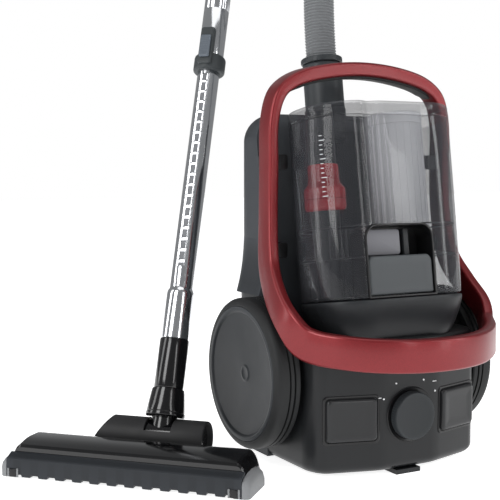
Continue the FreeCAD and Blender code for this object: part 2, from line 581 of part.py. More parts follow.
def gripEnd():
    """Where the handle's open end is, and which way it points."""
    points, _ = gripWire("handleLow")
    way = (points[2] - points[1]).normalize()
    return wandFrame.multVec(points[2]), wandFrame.Rotation.multVec(way)


def wand():
    bore = "innerRadius - tubeWall"
    notches = []
    for i in range(int(value("notchCount"))):
        low = f"notchLow + {i} * notchPitch"
        notches.append(box((-4, 4), ("-innerRadius - 1", "-innerRadius + 2.2"), (low, f"{low} + 5.5")))
    subpart("inner_tube", cut(fuse(rod("z", "innerRadius", "sleeveLow + 3", "innerHigh"),
                                   rod("z", "socketRadius", "sleeveHigh + 0.3", "socketHigh")),
                              rod("z", bore, "sleeveLow", "innerHigh + 1"), *notches), wandFrame)
    subpart("wand_sleeve", tube("z", "sleeveRadius", "innerRadius + runGap", "sleeveLow", "sleeveHigh"),
            wandFrame)
    subpart("outer_tube", tube("z", "outerRadius", "outerRadius - tubeWall", "collarHigh + 0.2", "outerHigh"),
            wandFrame)
    collar = turned([("innerRadius + runGap", "collarLow"), ("collarRadius - 2", "collarLow"),
                     ("collarRadius", "collarLow + 3"), ("collarRadius", "collarHigh - 4"),
                     ("collarRadius - 2", "collarHigh"), ("innerRadius + runGap", "collarHigh")])
    lockBed = box((-9, 9), ("-outerRadius - 7", "-outerRadius - 0.3"), ("collarLow + 8", "collarHigh + 30"))
    subpart("wand_collar", fuse(collar, lockBed), wandFrame)
    subpart("lock_slider", box((-6.5, 6.5), ("-outerRadius - 10", "-outerRadius - 7.3"),
                               ("collarLow + 12", "collarHigh + 20")), wandFrame)

    points, radii = gripWire("handleLow")
    tip = (points[2] - points[1]).normalize() * 2
    cavity = [points[0] + Vector(0, 0, value("outerHigh - handleLow")), points[1], points[2] + tip]
    gripWay = Rotation(zAxis, points[2] - points[1])
    arcEnd = points[1] + (points[2] - points[1]).normalize() * (points[2] - points[1]).Length
    gripFrame = wandFrame.multiply(Placement(arcEnd, gripWay))
    bleed = placed(box((-4, 4), ("gripRadius - 6", "gripRadius + 3"), (-46, -36)),
                   Placement(arcEnd, gripWay))
    subpart("wand_handle", cut(swept(bentWire(points, radii), "gripRadius"),
                               swept(bentWire(cavity, radii), "gripRadius - 4"),
                               rod("z", "outerRadius + 0.05", "handleLow - 1", "outerHigh + 0.3"), bleed),
            wandFrame)
    subpart("suction_slider", box((-8, 8), ("gripRadius + 0.3", "gripRadius + 4"), (-52, -34)), gripFrame)


# ---- floor nozzle

def nozzle():
    at = ("neckY", "neckZ")
    sole = [("-coverHalf", 4), ("coverHalf", 4), ("coverHalf", "nozzleDeep"), ("tailHalf", "nozzleDeep"),
            ("tailHalf", "tailDeep"), ("-tailHalf", "tailDeep"), ("-tailHalf", "nozzleDeep"),
            ("-coverHalf", "nozzleDeep")]
    rollerRoom = [box((x, x + 10), (-6, 9), (-1, 11)) for x in (122.8, -132.8)]
    base = prism("XY_Plane", sole, "soleLow", "soleHigh")
    subpart("nozzle_base", cut(base, box((-112, 112), (12, 26), (0, 20)),
                               box((-33, 33), (101, 130), (0, 20)), *rollerRoom), nozzleFrame)
    shell = [(5, "soleHigh + 0.3"), (0.5, 19), (34, "coverHigh"), ("nozzleDeep - 4", "coverHigh"),
             ("nozzleDeep", "coverHigh - 5"), ("nozzleDeep", "soleHigh + 0.3")]
    room = [(9, 12), (5.5, 19.5), (35, "coverHigh - 2.5"), ("nozzleDeep - 5", "coverHigh - 2.5"),
            ("nozzleDeep - 2.5", "coverHigh - 6"), ("nozzleDeep - 2.5", 12)]
    subpart("nozzle_cover", cut(prism("YZ_Plane", shell, "-coverHalf", "coverHalf"),
                                prism("YZ_Plane", room, "-coverHalf + 3", "coverHalf - 3"),
                                box((-20, 20), ("nozzleDeep - 5", "nozzleDeep + 2"), (16, 34))), nozzleFrame)
    panel = [(-3, 3.5), (3.6, 3.5), (3.6, 14.4), (-0.4, 18.6), (-3, 15.5)]
    subpart("nozzle_front", cut(prism("YZ_Plane", panel, "-coverHalf", "coverHalf"), *rollerRoom), nozzleFrame)
    skirt = [(-3, 1), (56, 1), (56, 12), (46, 38), (34, 38), (-3, 15)]
    subpart("end_skirts", group(prism("YZ_Plane", skirt, "coverHalf + 0.3", "nozzleHalf"),
                                prism("YZ_Plane", skirt, "-nozzleHalf", "-coverHalf - 0.3")), nozzleFrame)
    subpart("brush_strip", box((-112, 112), (29, 33), (0.4, "soleLow - 0.1")), nozzleFrame)
    slot = ("neckX - elbowRadius - 1.5", "neckX + elbowRadius + 1.5")
    casing = tube("x", "neckRadius + neckWall", "neckRadius + runGap", "neckFrom", "neckTo", at)
    subpart("neck_cover", cut(casing, box((-90, 90), (60, 140), (0, "soleHigh + 0.3")),
                              box(slot, (60, 140), ("neckZ - 12", 90)), box(slot, ("neckY", 140), (0, 90))),
            nozzleFrame)
    elbow = fuse(rod("x", "neckRadius", "-barrelHalf", "barrelHalf"),
                 rod("z", "elbowRadius", 0, "sleeveLow - 10"), rod("z", 20, "sleeveLow - 11", "sleeveLow - 0.3"))
    subpart("neck_elbow", cut(elbow, rod("z", 12, -8, "sleeveLow + 1")), wandFrame)
    subpart("front_rollers", group(*[
        tube("x", "frontRoller", 1.55, x, x + 8.4, (2, "frontRoller")) for x in (123.6, -132)]), nozzleFrame)
    subpart("rear_roller", tube("x", "rearRoller", 2.05, -31, 31, (110.4, "rearRoller")), nozzleFrame)
    pins = [rod("x", 1.5, x, x + 9.6, (2, "frontRoller")) for x in (123, -132.6)]
    subpart("roller_axles", group(rod("x", 2, -32.8, 32.8, (110.4, "rearRoller")), *pins), nozzleFrame)


housing()
ringShape, ringLugs = ringFrame()
subpart("ring_frame", fuse(ringShape, *ringLugs))
dustCup()
wheels()
caster()
motor()
reel()
controls()
hoseParts()
wand()
nozzle()
doc.recompute()

for thing in doc.Objects:
    if "Invalid" in thing.State or "Error" in thing.State:
        raise SystemExit(f"{thing.Label} failed: {thing.State}")
os.makedirs("parts", exist_ok=True)
for piece in subparts:
    shape = piece.Shape
    if shape.isNull() or not shape.isValid() or not shape.Solids:
        raise SystemExit(f"{piece.Label} has no valid shape")
    shape.exportStep(f"parts/{piece.Label}.step")
print(len(subparts), "subparts written")
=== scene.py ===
# Canister vacuum cleaner parked upright: the looks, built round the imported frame.
# Metres, +Z up, -Y towards the control panel.
import json
import math
import random

import bmesh
import bpy
from mathutils import Matrix, Vector
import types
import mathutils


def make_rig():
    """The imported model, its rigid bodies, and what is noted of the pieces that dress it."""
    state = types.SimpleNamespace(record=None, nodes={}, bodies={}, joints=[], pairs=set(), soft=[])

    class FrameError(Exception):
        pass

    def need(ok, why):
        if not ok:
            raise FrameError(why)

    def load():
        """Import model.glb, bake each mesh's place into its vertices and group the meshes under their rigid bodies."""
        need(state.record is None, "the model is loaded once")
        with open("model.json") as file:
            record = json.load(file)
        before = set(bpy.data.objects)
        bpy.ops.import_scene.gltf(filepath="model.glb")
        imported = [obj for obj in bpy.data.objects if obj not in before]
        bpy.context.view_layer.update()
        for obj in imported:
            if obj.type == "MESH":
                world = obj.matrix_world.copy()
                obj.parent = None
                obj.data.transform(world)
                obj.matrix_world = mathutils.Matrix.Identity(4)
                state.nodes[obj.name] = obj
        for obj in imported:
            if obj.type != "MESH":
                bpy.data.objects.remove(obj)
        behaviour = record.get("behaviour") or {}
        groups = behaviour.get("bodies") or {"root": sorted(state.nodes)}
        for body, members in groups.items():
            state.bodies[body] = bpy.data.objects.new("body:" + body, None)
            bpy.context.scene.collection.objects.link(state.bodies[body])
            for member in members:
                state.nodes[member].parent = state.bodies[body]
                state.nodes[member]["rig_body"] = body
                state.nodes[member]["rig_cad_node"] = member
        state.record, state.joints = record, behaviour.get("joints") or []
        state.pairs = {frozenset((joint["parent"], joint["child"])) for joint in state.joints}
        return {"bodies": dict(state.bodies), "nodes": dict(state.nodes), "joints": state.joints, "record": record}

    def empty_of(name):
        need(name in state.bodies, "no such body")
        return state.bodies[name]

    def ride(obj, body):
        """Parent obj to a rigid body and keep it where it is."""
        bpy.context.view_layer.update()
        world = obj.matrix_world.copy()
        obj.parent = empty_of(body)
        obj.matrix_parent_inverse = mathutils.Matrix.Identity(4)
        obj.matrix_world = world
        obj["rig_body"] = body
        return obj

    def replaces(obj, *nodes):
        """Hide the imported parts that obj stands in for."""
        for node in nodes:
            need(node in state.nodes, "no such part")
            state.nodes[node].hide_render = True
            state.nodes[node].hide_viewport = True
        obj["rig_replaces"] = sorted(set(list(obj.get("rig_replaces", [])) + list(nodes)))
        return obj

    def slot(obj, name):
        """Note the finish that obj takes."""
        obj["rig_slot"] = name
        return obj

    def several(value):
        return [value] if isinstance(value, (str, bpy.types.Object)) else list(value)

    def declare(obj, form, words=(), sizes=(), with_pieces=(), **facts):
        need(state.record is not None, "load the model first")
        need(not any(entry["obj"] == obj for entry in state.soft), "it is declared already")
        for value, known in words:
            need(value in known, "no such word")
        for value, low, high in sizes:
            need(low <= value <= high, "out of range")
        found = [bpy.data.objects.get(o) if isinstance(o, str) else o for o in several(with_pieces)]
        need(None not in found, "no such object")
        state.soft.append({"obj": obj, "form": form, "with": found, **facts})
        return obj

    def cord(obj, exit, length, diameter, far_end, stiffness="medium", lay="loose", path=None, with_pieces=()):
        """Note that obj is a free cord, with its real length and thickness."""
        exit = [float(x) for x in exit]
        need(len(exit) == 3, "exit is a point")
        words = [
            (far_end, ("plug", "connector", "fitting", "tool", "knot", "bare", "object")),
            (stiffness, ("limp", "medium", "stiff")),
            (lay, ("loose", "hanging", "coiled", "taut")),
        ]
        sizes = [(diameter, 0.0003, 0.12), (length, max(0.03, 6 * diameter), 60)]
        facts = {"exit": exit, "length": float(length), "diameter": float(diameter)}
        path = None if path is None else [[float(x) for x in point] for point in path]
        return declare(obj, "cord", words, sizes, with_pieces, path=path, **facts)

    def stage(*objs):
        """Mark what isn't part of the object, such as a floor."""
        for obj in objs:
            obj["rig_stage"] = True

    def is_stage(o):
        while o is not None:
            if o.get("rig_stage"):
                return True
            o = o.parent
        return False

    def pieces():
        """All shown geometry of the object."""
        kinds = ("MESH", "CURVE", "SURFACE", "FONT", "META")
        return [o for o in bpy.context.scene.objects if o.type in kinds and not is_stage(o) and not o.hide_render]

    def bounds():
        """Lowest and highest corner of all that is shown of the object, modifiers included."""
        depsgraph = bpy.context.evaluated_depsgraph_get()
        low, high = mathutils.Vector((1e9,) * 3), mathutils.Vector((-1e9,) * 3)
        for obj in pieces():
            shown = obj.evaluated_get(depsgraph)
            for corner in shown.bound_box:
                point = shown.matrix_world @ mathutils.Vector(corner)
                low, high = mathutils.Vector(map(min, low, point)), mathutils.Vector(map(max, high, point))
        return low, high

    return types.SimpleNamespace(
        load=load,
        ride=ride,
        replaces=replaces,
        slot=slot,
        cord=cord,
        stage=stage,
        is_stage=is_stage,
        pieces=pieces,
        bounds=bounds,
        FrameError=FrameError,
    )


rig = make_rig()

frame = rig.load()
cadBox = [[float(v) for v in corner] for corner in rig.bounds()]
nodes = frame["nodes"]
print("frame loaded")


def move(x, y, z):
    return Matrix.Translation((x, y, z))


def turn(degrees, axis):
    return Matrix.Rotation(math.radians(degrees), 4, axis)


# the leaning and turned groups, as the part has them
cupPlace = move(0, -0.07, 0.187) @ turn(-8.4, "X")
cupFace = cupPlace @ turn(90, "X")                  # its z points out of the container's front
inletPlace = move(-0.002, 0.046, 0.394) @ turn(-8.5, "X")
nozzlePlace = move(-0.2965, -0.0235, 0) @ turn(-46, "Z")
wandPlace = nozzlePlace @ move(0.006, 0.0999, 0.0305) @ turn(-20.7, "X")
wandFace = wandPlace @ turn(90, "X")


def panelPlace(side):
    return move(side * 0.07025, -0.1145, 0) @ turn(side * 15.5, "Z") @ turn(90, "X")


def wheelPlace(side):
    return move(0, -0.006, 0.1035) @ turn(90 * side, "Y")


# ---- camera, studio light and floor
studio = {
    "camera": (-0.6924, -1.0328, 0.3341), "down": 4.53, "around": -28.54, "lens": 75.9,
    "sky": 0.3, "backdrop": 1.0, "key": 24, "strip": 9, "top": 10, "floor": (0.93, 0.93, 0.93), "floorGlow": 0.85,
}


def lamp(name, place, aim, size, power):
    data = bpy.data.lights.new(name, "AREA")
    data.shape, data.size, data.size_y, data.energy = "RECTANGLE", size[0], size[1], power
    made = bpy.data.objects.new(name, data)
    made.location = place
    made.rotation_euler = (Vector(aim) - Vector(place)).to_track_quat("-Z", "Y").to_euler()
    bpy.context.scene.collection.objects.link(made)


def setStudio():
    scene = bpy.context.scene
    scene.view_settings.view_transform = "Standard"
    camera = bpy.data.objects.new("camera", bpy.data.cameras.new("camera"))
    camera.data.lens, camera.data.sensor_width = studio["lens"], 36
    camera.location = studio["camera"]
    camera.rotation_euler = (math.radians(90 - studio["down"]), 0, math.radians(studio["around"]))
    camera.data.clip_end = 60
    scene.collection.objects.link(camera)
    scene.camera = camera
    sky = bpy.data.worlds.new("studioSky")
    scene.world = sky
    sky.use_nodes = True
    tree = sky.node_tree
    seen = tree.nodes.new("ShaderNodeLightPath").outputs["Is Camera Ray"]
    backdrop = tree.nodes.new("ShaderNodeBackground")
    backdrop.inputs[0].default_value, backdrop.inputs[1].default_value = (1, 1, 1, 1), studio["backdrop"]
    glow = tree.nodes["Background"]
    glow.inputs[0].default_value, glow.inputs[1].default_value = (0.97, 0.985, 1, 1), studio["sky"]
    mix = tree.nodes.new("ShaderNodeMixShader")
    tree.links.new(seen, mix.inputs[0])
    tree.links.new(glow.outputs[0], mix.inputs[1])
    tree.links.new(backdrop.outputs[0], mix.inputs[2])
    tree.links.new(mix.outputs[0], tree.nodes["World Output"].inputs[0])
    lamp("softboxLeft", (-1.9, -0.6, 1.2), (-0.05, 0, 0.25), (0.7, 1.6), studio["key"])
    lamp("rimLeft", (-1.9, 0.9, 0.9), (0, 0, 0.25), (0.5, 1.6), 9)
    lamp("softboxFront", (0.1, -2.2, 1.0), (0, 0, 0.25), (0.35, 1.7), studio["strip"])
    lamp("softboxRight", (1.6, -1.3, 0.9), (0, 0, 0.25), (0.3, 1.5), studio["strip"])
    lamp("stripNear", (1.035, -1.8, 0.8), (0, -0.13, 0.3), (0.1, 1.6), 3.2)
    lamp("stripFar", (1.19, -1.69, 0.8), (0, -0.13, 0.3), (0.09, 1.6), 3.2)
    lamp("softboxTop", (0.0, -0.2, 2.4), (0, 0, 0), (1.8, 1.4), studio["top"])


setStudio()
print("camera and lights set")


# ---- finishes

class Wire:                        # one socket of a finish; arithmetic on it adds Math nodes
    def __init__(self, finish, socket):
        self.finish, self.socket = finish, socket

    def work(self, operation, one, other):
        return self.finish.node("ShaderNodeMath", {"operation": operation}, {0: one, 1: other})

    def __add__(self, other):
        return self.work("ADD", self, other)

    def __sub__(self, other):
        return self.work("SUBTRACT", self, other)

    def __rsub__(self, other):
        return self.work("SUBTRACT", other, self)

    def __mul__(self, other):
        return self.work("MULTIPLY", self, other)

    def __truediv__(self, other):
        return self.work("DIVIDE", self, other)

    def __rtruediv__(self, other):
        return self.work("DIVIDE", other, self)

    def __pow__(self, other):
        return self.work("POWER", self, other)

    __radd__, __rmul__ = __add__, __mul__


class Finish:
    def __init__(self, name, **fixed):
        self.material = bpy.data.materials.new(name)
        self.material.use_nodes = True
        self.tree = self.material.node_tree
        self.shader = self.tree.nodes["Principled BSDF"]
        for word, amount in fixed.items():
            self.shader.inputs[word.replace("_", " ")].default_value = amount
        self.here = self.node("ShaderNodeTexCoord", out="Object")

    def node(self, kind, settings=None, feeds=None, out=0):
        made = self.tree.nodes.new(kind)
        for word, setting in (settings or {}).items():
            if word == "stops":
                for stop, (at, grey) in zip(made.color_ramp.elements, setting):
                    stop.position, stop.color = at, (grey, grey, grey, 1)
            else:
                setattr(made, word, setting)
        for place, feed in (feeds or {}).items():
            self.feed(made.inputs[place], feed)
        return Wire(self, made.outputs[out])

    def feed(self, socket, feed):
        if isinstance(feed, Wire):
            self.tree.links.new(feed.socket, socket)
        else:
            socket.default_value = feed

    def noise(self, scale, detail=2, stretch=None):
        at = self.here
        if stretch:
            at = self.node("ShaderNodeVectorMath", {"operation": "MULTIPLY"}, {0: at, 1: stretch})
        return self.node("ShaderNodeTexNoise", {}, {"Vector": at, "Scale": scale, "Detail": detail})

    def between(self, mask, dark, light):
        return self.node("ShaderNodeMix", {"data_type": "RGBA"},
            {0: mask, 6: (*dark, 1), 7: light if isinstance(light, Wire) else (*light, 1)}, 2)

    def edges(self, low=0.5, high=0.58):
        pointed = self.node("ShaderNodeNewGeometry", out="Pointiness")
        return self.node("ShaderNodeValToRGB", {"stops": ((low, 0), (high, 1))}, {0: pointed})

    def bump(self, height, depth, strength=0.5):
        return self.node("ShaderNodeBump", {}, {"Height": height, "Distance": depth, "Strength": strength})

    def coat(self, **feeds):
        for word, feed in feeds.items():
            self.feed(self.shader.inputs[word.replace("_", " ")], feed)
        return self


def shade(colour, factor):
    return tuple(min(1, c * factor) for c in colour)


def moulded(name, colour, rough, grain=1400, depth=0.00005, edgeHighlight=0.35, coat=0.0, cloud=7):
    # injection-moulded plastic: fine tooling grain, slight cloudiness, and a painted highlight that makes its edges
    # paler
    made = Finish(name, IOR=1.5, Coat_Roughness=0.12, Specular_IOR_Level=0.24)
    # painted highlight: convex edges, found by pointiness, are mixed towards a colour 2.6 times brighter
    edgeHighlightMask = made.edges() * edgeHighlight
    tone = made.noise(cloud, 3)
    base = made.between(tone, shade(colour, 0.86), shade(colour, 1.14))
    edgeLitColour = made.node("ShaderNodeMix", {"data_type": "RGBA"}, {0: edgeHighlightMask, 6: base, 7: (*shade(colour, 2.6), 1)}, 2)
    made.coat(Base_Color=edgeLitColour, Roughness=made.noise(60, 3) * 0.12 + (rough - 0.06), Coat_Weight=coat,
        Normal=made.bump(made.noise(grain, 2), depth))
    return made


def lacquered(name, colour):
    # red metallic lacquer: flakes under a clear coat, and a painted highlight along its edges
    made = Finish(name, Metallic=0.55, Coat_Weight=0.28, Coat_Roughness=0.16, IOR=1.5)
    flake = made.node("ShaderNodeTexVoronoi", {}, {"Vector": made.here, "Scale": 2600.0}, "Color")
    grey = made.node("ShaderNodeSeparateColor", {}, {0: flake})
    base = made.between(grey, shade(colour, 0.8), shade(colour, 1.25))
    # painted highlight: convex edges, found by pointiness, are mixed towards a red 1.7 times brighter
    edgeLitColour = made.node("ShaderNodeMix", {"data_type": "RGBA"},
        {0: made.edges() * 0.3, 6: base, 7: (*shade(colour, 1.7), 1)}, 2)
    made.coat(Base_Color=edgeLitColour, Roughness=made.noise(30, 3) * 0.08 + 0.34,
        Normal=made.bump(made.noise(260, 2), 0.00003, 0.4))
    return made


def plated(name, colour, rough, lengthwise):
    # polished tube: faint draw lines along it and hazy finger marks
    made = Finish(name, Metallic=1.0)
    lines = made.noise(900, 2, lengthwise)
    haze = made.noise(26, 4)
    base = made.between(haze, shade(colour, 0.9), shade(colour, 1.05))
    made.coat(Base_Color=base, Roughness=haze * 0.07 + rough, Normal=made.bump(lines, 0.00001, 0.3))
    return made


def smoked(name, tint, low, rise, rough=0.07):
    # clear tinted plastic, denser where it is seen edge-on
    made = Finish(name, IOR=1.6, Coat_Weight=0.0)
    edgeOn = made.node("ShaderNodeLayerWeight", {}, {"Blend": 0.35}, "Facing")
    scuff = made.node("ShaderNodeValToRGB", {"stops": ((0.58, 0), (0.75, 1))}, {0: made.noise(55, 5)})
    base = made.between(scuff * 0.03, tint, (0.4, 0.4, 0.41))
    made.coat(Base_Color=base, Roughness=scuff * 0.02 + rough, Alpha=edgeOn * rise + scuff * 0.01 + low)
    return made


def woven(name, colour, pitch, depth):
    # a fine square mesh
    made = Finish(name, Roughness=0.6)
    across = made.node("ShaderNodeTexWave", {"bands_direction": "Z"},
        {"Vector": made.here, "Scale": pitch, "Distortion": 0.3})
    along = made.node("ShaderNodeTexWave", {"bands_direction": "X"},
        {"Vector": made.here, "Scale": pitch, "Distortion": 0.3})
    thread = made.node("ShaderNodeMath", {"operation": "MAXIMUM"}, {0: across, 1: along})
    made.coat(Base_Color=made.between(thread, shade(colour, 0.35), colour), Normal=made.bump(thread, depth))
    return made


def brushed(name, colour, rough):
    made = Finish(name, Metallic=1.0)
    lines = made.noise(700, 3, (1, 1, 0.06))
    made.coat(Base_Color=made.between(lines, shade(colour, 0.8), shade(colour, 1.1)),
        Roughness=lines * 0.15 + rough, Normal=made.bump(lines, 0.00003))
    return made


shellBlack = moulded("shellBlack", (0.0085, 0.0092, 0.0102), 0.36, coat=0.04)
hullBlack = moulded("hullBlack", (0.021, 0.0235, 0.027), 0.44)
deckGrey = moulded("deckGrey", (0.0135, 0.0148, 0.0165), 0.4)
ringRed = lacquered("ringRed", (0.16, 0.0075, 0.0105))
# near-black finish for the strip that paints shade under the ring's top bar
undersideShadeBlack = moulded("undersideShadeBlack", (0.006, 0.006, 0.0065), 0.55, grain=900, depth=0.0001)
clearSmoke = smoked("clearSmoke", (0.052, 0.054, 0.061), 0.2, 0.5)
ductBlack = moulded("ductBlack", (0.012, 0.012, 0.0135), 0.3)
plateGrey = moulded("plateGrey", (0.15, 0.15, 0.165), 0.35, edgeHighlight=0.1)
coneRed = moulded("coneRed", (0.26, 0.005, 0.01), 0.25, coat=0.5)
gauzeGrey = woven("gauzeGrey", (0.72, 0.73, 0.77), 420.0, 0.0001)
latchGrey = moulded("latchGrey", (0.055, 0.06, 0.064), 0.42)
frameBlack = moulded("frameBlack", (0.004, 0.004, 0.0045), 0.32, coat=0.2)
wheelBlack = moulded("wheelBlack", (0.016, 0.018, 0.0205), 0.4, cloud=12)
treadBlack = moulded("treadBlack", (0.009, 0.0095, 0.01), 0.55, grain=700, depth=0.00012)
dialGrey = moulded("dialGrey", (0.018, 0.0205, 0.0225), 0.46)
keyBlack = moulded("keyBlack", (0.0115, 0.012, 0.013), 0.34, coat=0.15)
inkWhite = moulded("inkWhite", (0.72, 0.73, 0.74), 0.5, edgeHighlight=0)
hoseGrey = moulded("hoseGrey", (0.115, 0.12, 0.125), 0.42, grain=900, edgeHighlight=0.5)
cuffGrey = moulded("cuffGrey", (0.023, 0.026, 0.0285), 0.42)
chrome = plated("chrome", (0.66, 0.67, 0.69), 0.1, (1, 1, 0.04))
windowSteel = moulded("windowSteel", (0.16, 0.165, 0.175), 0.6, edgeHighlight=0)
glossBlack = moulded("glossBlack", (0.003, 0.003, 0.0035), 0.14, depth=0.00001, coat=0.6, edgeHighlight=0.2)
collarGrey = moulded("collarGrey", (0.03, 0.034, 0.036), 0.45)
sliderBlue = moulded("sliderBlue", (0.075, 0.088, 0.105), 0.42)
panelGrey = moulded("panelGrey", (0.0135, 0.0155, 0.0185), 0.38)
neckGrey = moulded("neckGrey", (0.0125, 0.0125, 0.013), 0.5)
skirtGrey = moulded("skirtGrey", (0.17, 0.175, 0.18), 0.5, edgeHighlight=0.1)
bristleBlack = moulded("bristleBlack", (0.008, 0.008, 0.008), 0.7, grain=2500, depth=0.0004)
steel = brushed("steel", (0.55, 0.55, 0.56), 0.28)
innerGrey = moulded("innerGrey", (0.04, 0.04, 0.043), 0.5)
foamGrey = moulded("foamGrey", (0.12, 0.12, 0.12), 0.9, grain=500, depth=0.0008)
print("finishes made")


# ---- mesh helpers

class Shape:                       # gathers skins and turned forms into one mesh
    def __init__(self):
        self.points, self.faces = [], []

    def skin(self, loops, place=None, caps=(True, True), ring=False):
        start, count, rows = len(self.points), len(loops[0]), len(loops)
        for loop in loops:
            self.points += [place @ Vector(p) if place else Vector(p) for p in loop]
        for i in range(rows if ring else rows - 1):
            a, b = start + i * count, start + (i + 1) % rows * count
            self.faces += [(a + j, a + (j + 1) % count, b + (j + 1) % count, b + j) for j in range(count)]
        if not ring:
            if caps[0]:
                self.faces.append(tuple(start + j for j in reversed(range(count))))
            if caps[1]:
                self.faces.append(tuple(start + (rows - 1) * count + j for j in range(count)))
        return self

    def spin(self, profile, place=None, steps=72):
        loops = []
        for i in range(steps):
            way = math.tau * i / steps
            loops.append([(r * math.cos(way), r * math.sin(way), z) for r, z in profile])
        return self.skin(loops, place, ring=True)

    def slab(self, halfX, halfY, radius, low, high, soft, centre=(0, 0), place=None, steps=6):
        loops = []
        for z, side in ((low + soft, -1), (high - soft, 1)):
            for k in range(4)[::side]:
                way = math.pi / 6 * k
                inset = soft * (1 - math.cos(way))
                loops.append(roundRect(halfX - inset, halfY - inset, max(radius - inset, 0.0002),
                    z + side * soft * math.sin(way), centre, steps))
        return self.skin(loops, place)

    def build(self, name, finish, body, stands=(), slot=None, sharp=34):
        mesh = bpy.data.meshes.new(name)
        work = bmesh.new()
        corners = [work.verts.new(p) for p in self.points]
        for face in self.faces:
            work.faces.new([corners[i] for i in face])
        bmesh.ops.remove_doubles(work, verts=work.verts, dist=1e-6)
        bmesh.ops.dissolve_degenerate(work, edges=work.edges, dist=1e-6)
        bmesh.ops.recalc_face_normals(work, faces=work.faces)
        work.to_mesh(mesh)
        work.free()
        return finished(name, mesh, finish, body, stands, slot, sharp)


def finished(name, mesh, finish, body, stands=(), slot=None, sharp=34):
    mesh.polygons.foreach_set("use_smooth", [True] * len(mesh.polygons))
    mesh.set_sharp_from_angle(angle=math.radians(sharp))
    mesh.materials.clear()
    mesh.materials.append(finish.material)
    piece = bpy.data.objects.new(name, mesh)
    bpy.context.scene.collection.objects.link(piece)
    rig.ride(piece, body)
    if stands:
        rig.replaces(piece, *([stands] if isinstance(stands, str) else stands))
    if slot:
        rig.slot(piece, slot)
    return piece


def roundRect(halfX, halfY, radius, z, centre=(0, 0), steps=6, lower=None):
    # lower is the radius of the two corners on the low-y side
    loop = []
    for k, (sx, sy) in enumerate(((1, 1), (-1, 1), (-1, -1), (1, -1))):
        r = min(lower if lower is not None and sy < 0 else radius, halfX, halfY)
        for i in range(steps + 1):
            way = math.pi / 2 * (k + i / steps)
            loop.append((centre[0] + sx * (halfX - r) + r * math.cos(way),
                centre[1] + sy * (halfY - r) + r * math.sin(way), z))
    return loop


def roundedPlan(corners, steps=8):
    # a closed plan outline from (x, y, radius) corners
    loop, count = [], len(corners)
    for i, (x, y, radius) in enumerate(corners):
        here = Vector((x, y))
        back = (Vector(corners[i - 1][:2]) - here).normalized()
        ahead = (Vector(corners[(i + 1) % count][:2]) - here).normalized()
        if radius == 0:
            loop += [here] * (steps + 1)
            continue
        half = math.acos(max(-1, min(1, back.dot(ahead)))) / 2
        middle = here + (back + ahead).normalized() * (radius / math.sin(half))
        first, last = here + back * (radius / math.tan(half)), here + ahead * (radius / math.tan(half))
        for k in range(steps + 1):
            spoke = (first - middle).lerp(last - middle, k / steps).normalized()
            loop.append(middle + spoke * radius)
    return loop


def subtracted(piece, cutter):
    # the piece's mesh with the cutter's shape taken out, the cutter then thrown away
    step = piece.modifiers.new("cut", "BOOLEAN")
    step.operation, step.solver, step.object = "DIFFERENCE", "EXACT", cutter
    graph = bpy.context.evaluated_depsgraph_get()
    mesh = bpy.data.meshes.new_from_object(piece.evaluated_get(graph))
    piece.modifiers.clear()
    old, piece.data = piece.data, mesh
    bpy.data.meshes.remove(old)
    bpy.data.objects.remove(cutter)
    mesh.polygons.foreach_set("use_smooth", [True] * len(mesh.polygons))
    mesh.set_sharp_from_angle(angle=math.radians(34))


def cutter(shape):
    mesh = bpy.data.meshes.new("cutter")
    work = bmesh.new()
    corners = [work.verts.new(p) for p in shape.points]
    for face in shape.faces:
        work.faces.new([corners[i] for i in face])
    bmesh.ops.recalc_face_normals(work, faces=work.faces)
    work.to_mesh(mesh)
    work.free()
    made = bpy.data.objects.new("cutter", mesh)
    bpy.context.scene.collection.objects.link(made)
    return made


def layFloor():
    floor = Finish("floorPaper", Roughness=0.9, Emission_Color=(1, 1, 1, 1), Emission_Strength=studio["floorGlow"])
    tone = floor.noise(1.5, 2)
    floor.coat(Base_Color=floor.between(tone, shade(studio["floor"], 0.99), studio["floor"]))
    mesh = bpy.data.meshes.new("floor")
    mesh.from_pydata([(-9, -9, 0), (9, -9, 0), (9, 9, 0), (-9, 9, 0)], [], [(0, 1, 2, 3)])
    mesh.materials.append(floor.material)
    piece = bpy.data.objects.new("floor", mesh)
    bpy.context.scene.collection.objects.link(piece)
    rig.stage(piece)


layFloor()
print("floor laid")

# ---- hose and its fittings
hose = {
    "route": ((-0.002, 0.0565, 0.4642), (-0.002, 0.081, 0.627), (0.09, 0.09, 0.746), (0.234, 0.1, 0.784),
    (0.364, 0.148, 0.735), (0.448, 0.255, 0.68), (0.48, 0.399, 0.683), (0.473, 0.517, 0.766),
    (0.417, 0.566, 0.89), (0.318, 0.539, 0.992), (0.2063, 0.4537, 1.0199), (0.1249, 0.3751, 0.9802)),
    "radius": 0.0185, "groove": 0.0013, "pitch": 0.0036, "sides": 40,
}


def hoseLine():
    curve = bpy.data.curves.new("hoseLine", "CURVE")
    curve.dimensions, curve.resolution_u = "3D", 48
    spline = curve.splines.new("NURBS")
    spline.points.add(len(hose["route"]) - 1)
    for point, place in zip(spline.points, hose["route"]):
        point.co = (*place, 1)
    spline.order_u = 3
    spline.use_endpoint_u = True
    holder = bpy.data.objects.new("hoseLine", curve)
    bpy.context.scene.collection.objects.link(holder)
    mesh = bpy.data.meshes.new_from_object(holder)
    points = [v.co.copy() for v in mesh.vertices]
    bpy.data.objects.remove(holder)
    bpy.data.meshes.remove(mesh)
    return points


def evenly(points, pitch):
    # points at equal steps along a line, and the line's length
    marks = [0.0]
    for a, b in zip(points, points[1:]):
        marks.append(marks[-1] + (b - a).length)
    count = max(2, round(marks[-1] / pitch))
    result, k = [], 0
    for i in range(count + 1):
        at = marks[-1] * i / count
        while k < len(points) - 2 and marks[k + 1] < at:
            k += 1
        share = (at - marks[k]) / max(1e-9, marks[k + 1] - marks[k])
        result.append(points[k].lerp(points[k + 1], min(1, share)))
    return result, marks[-1]


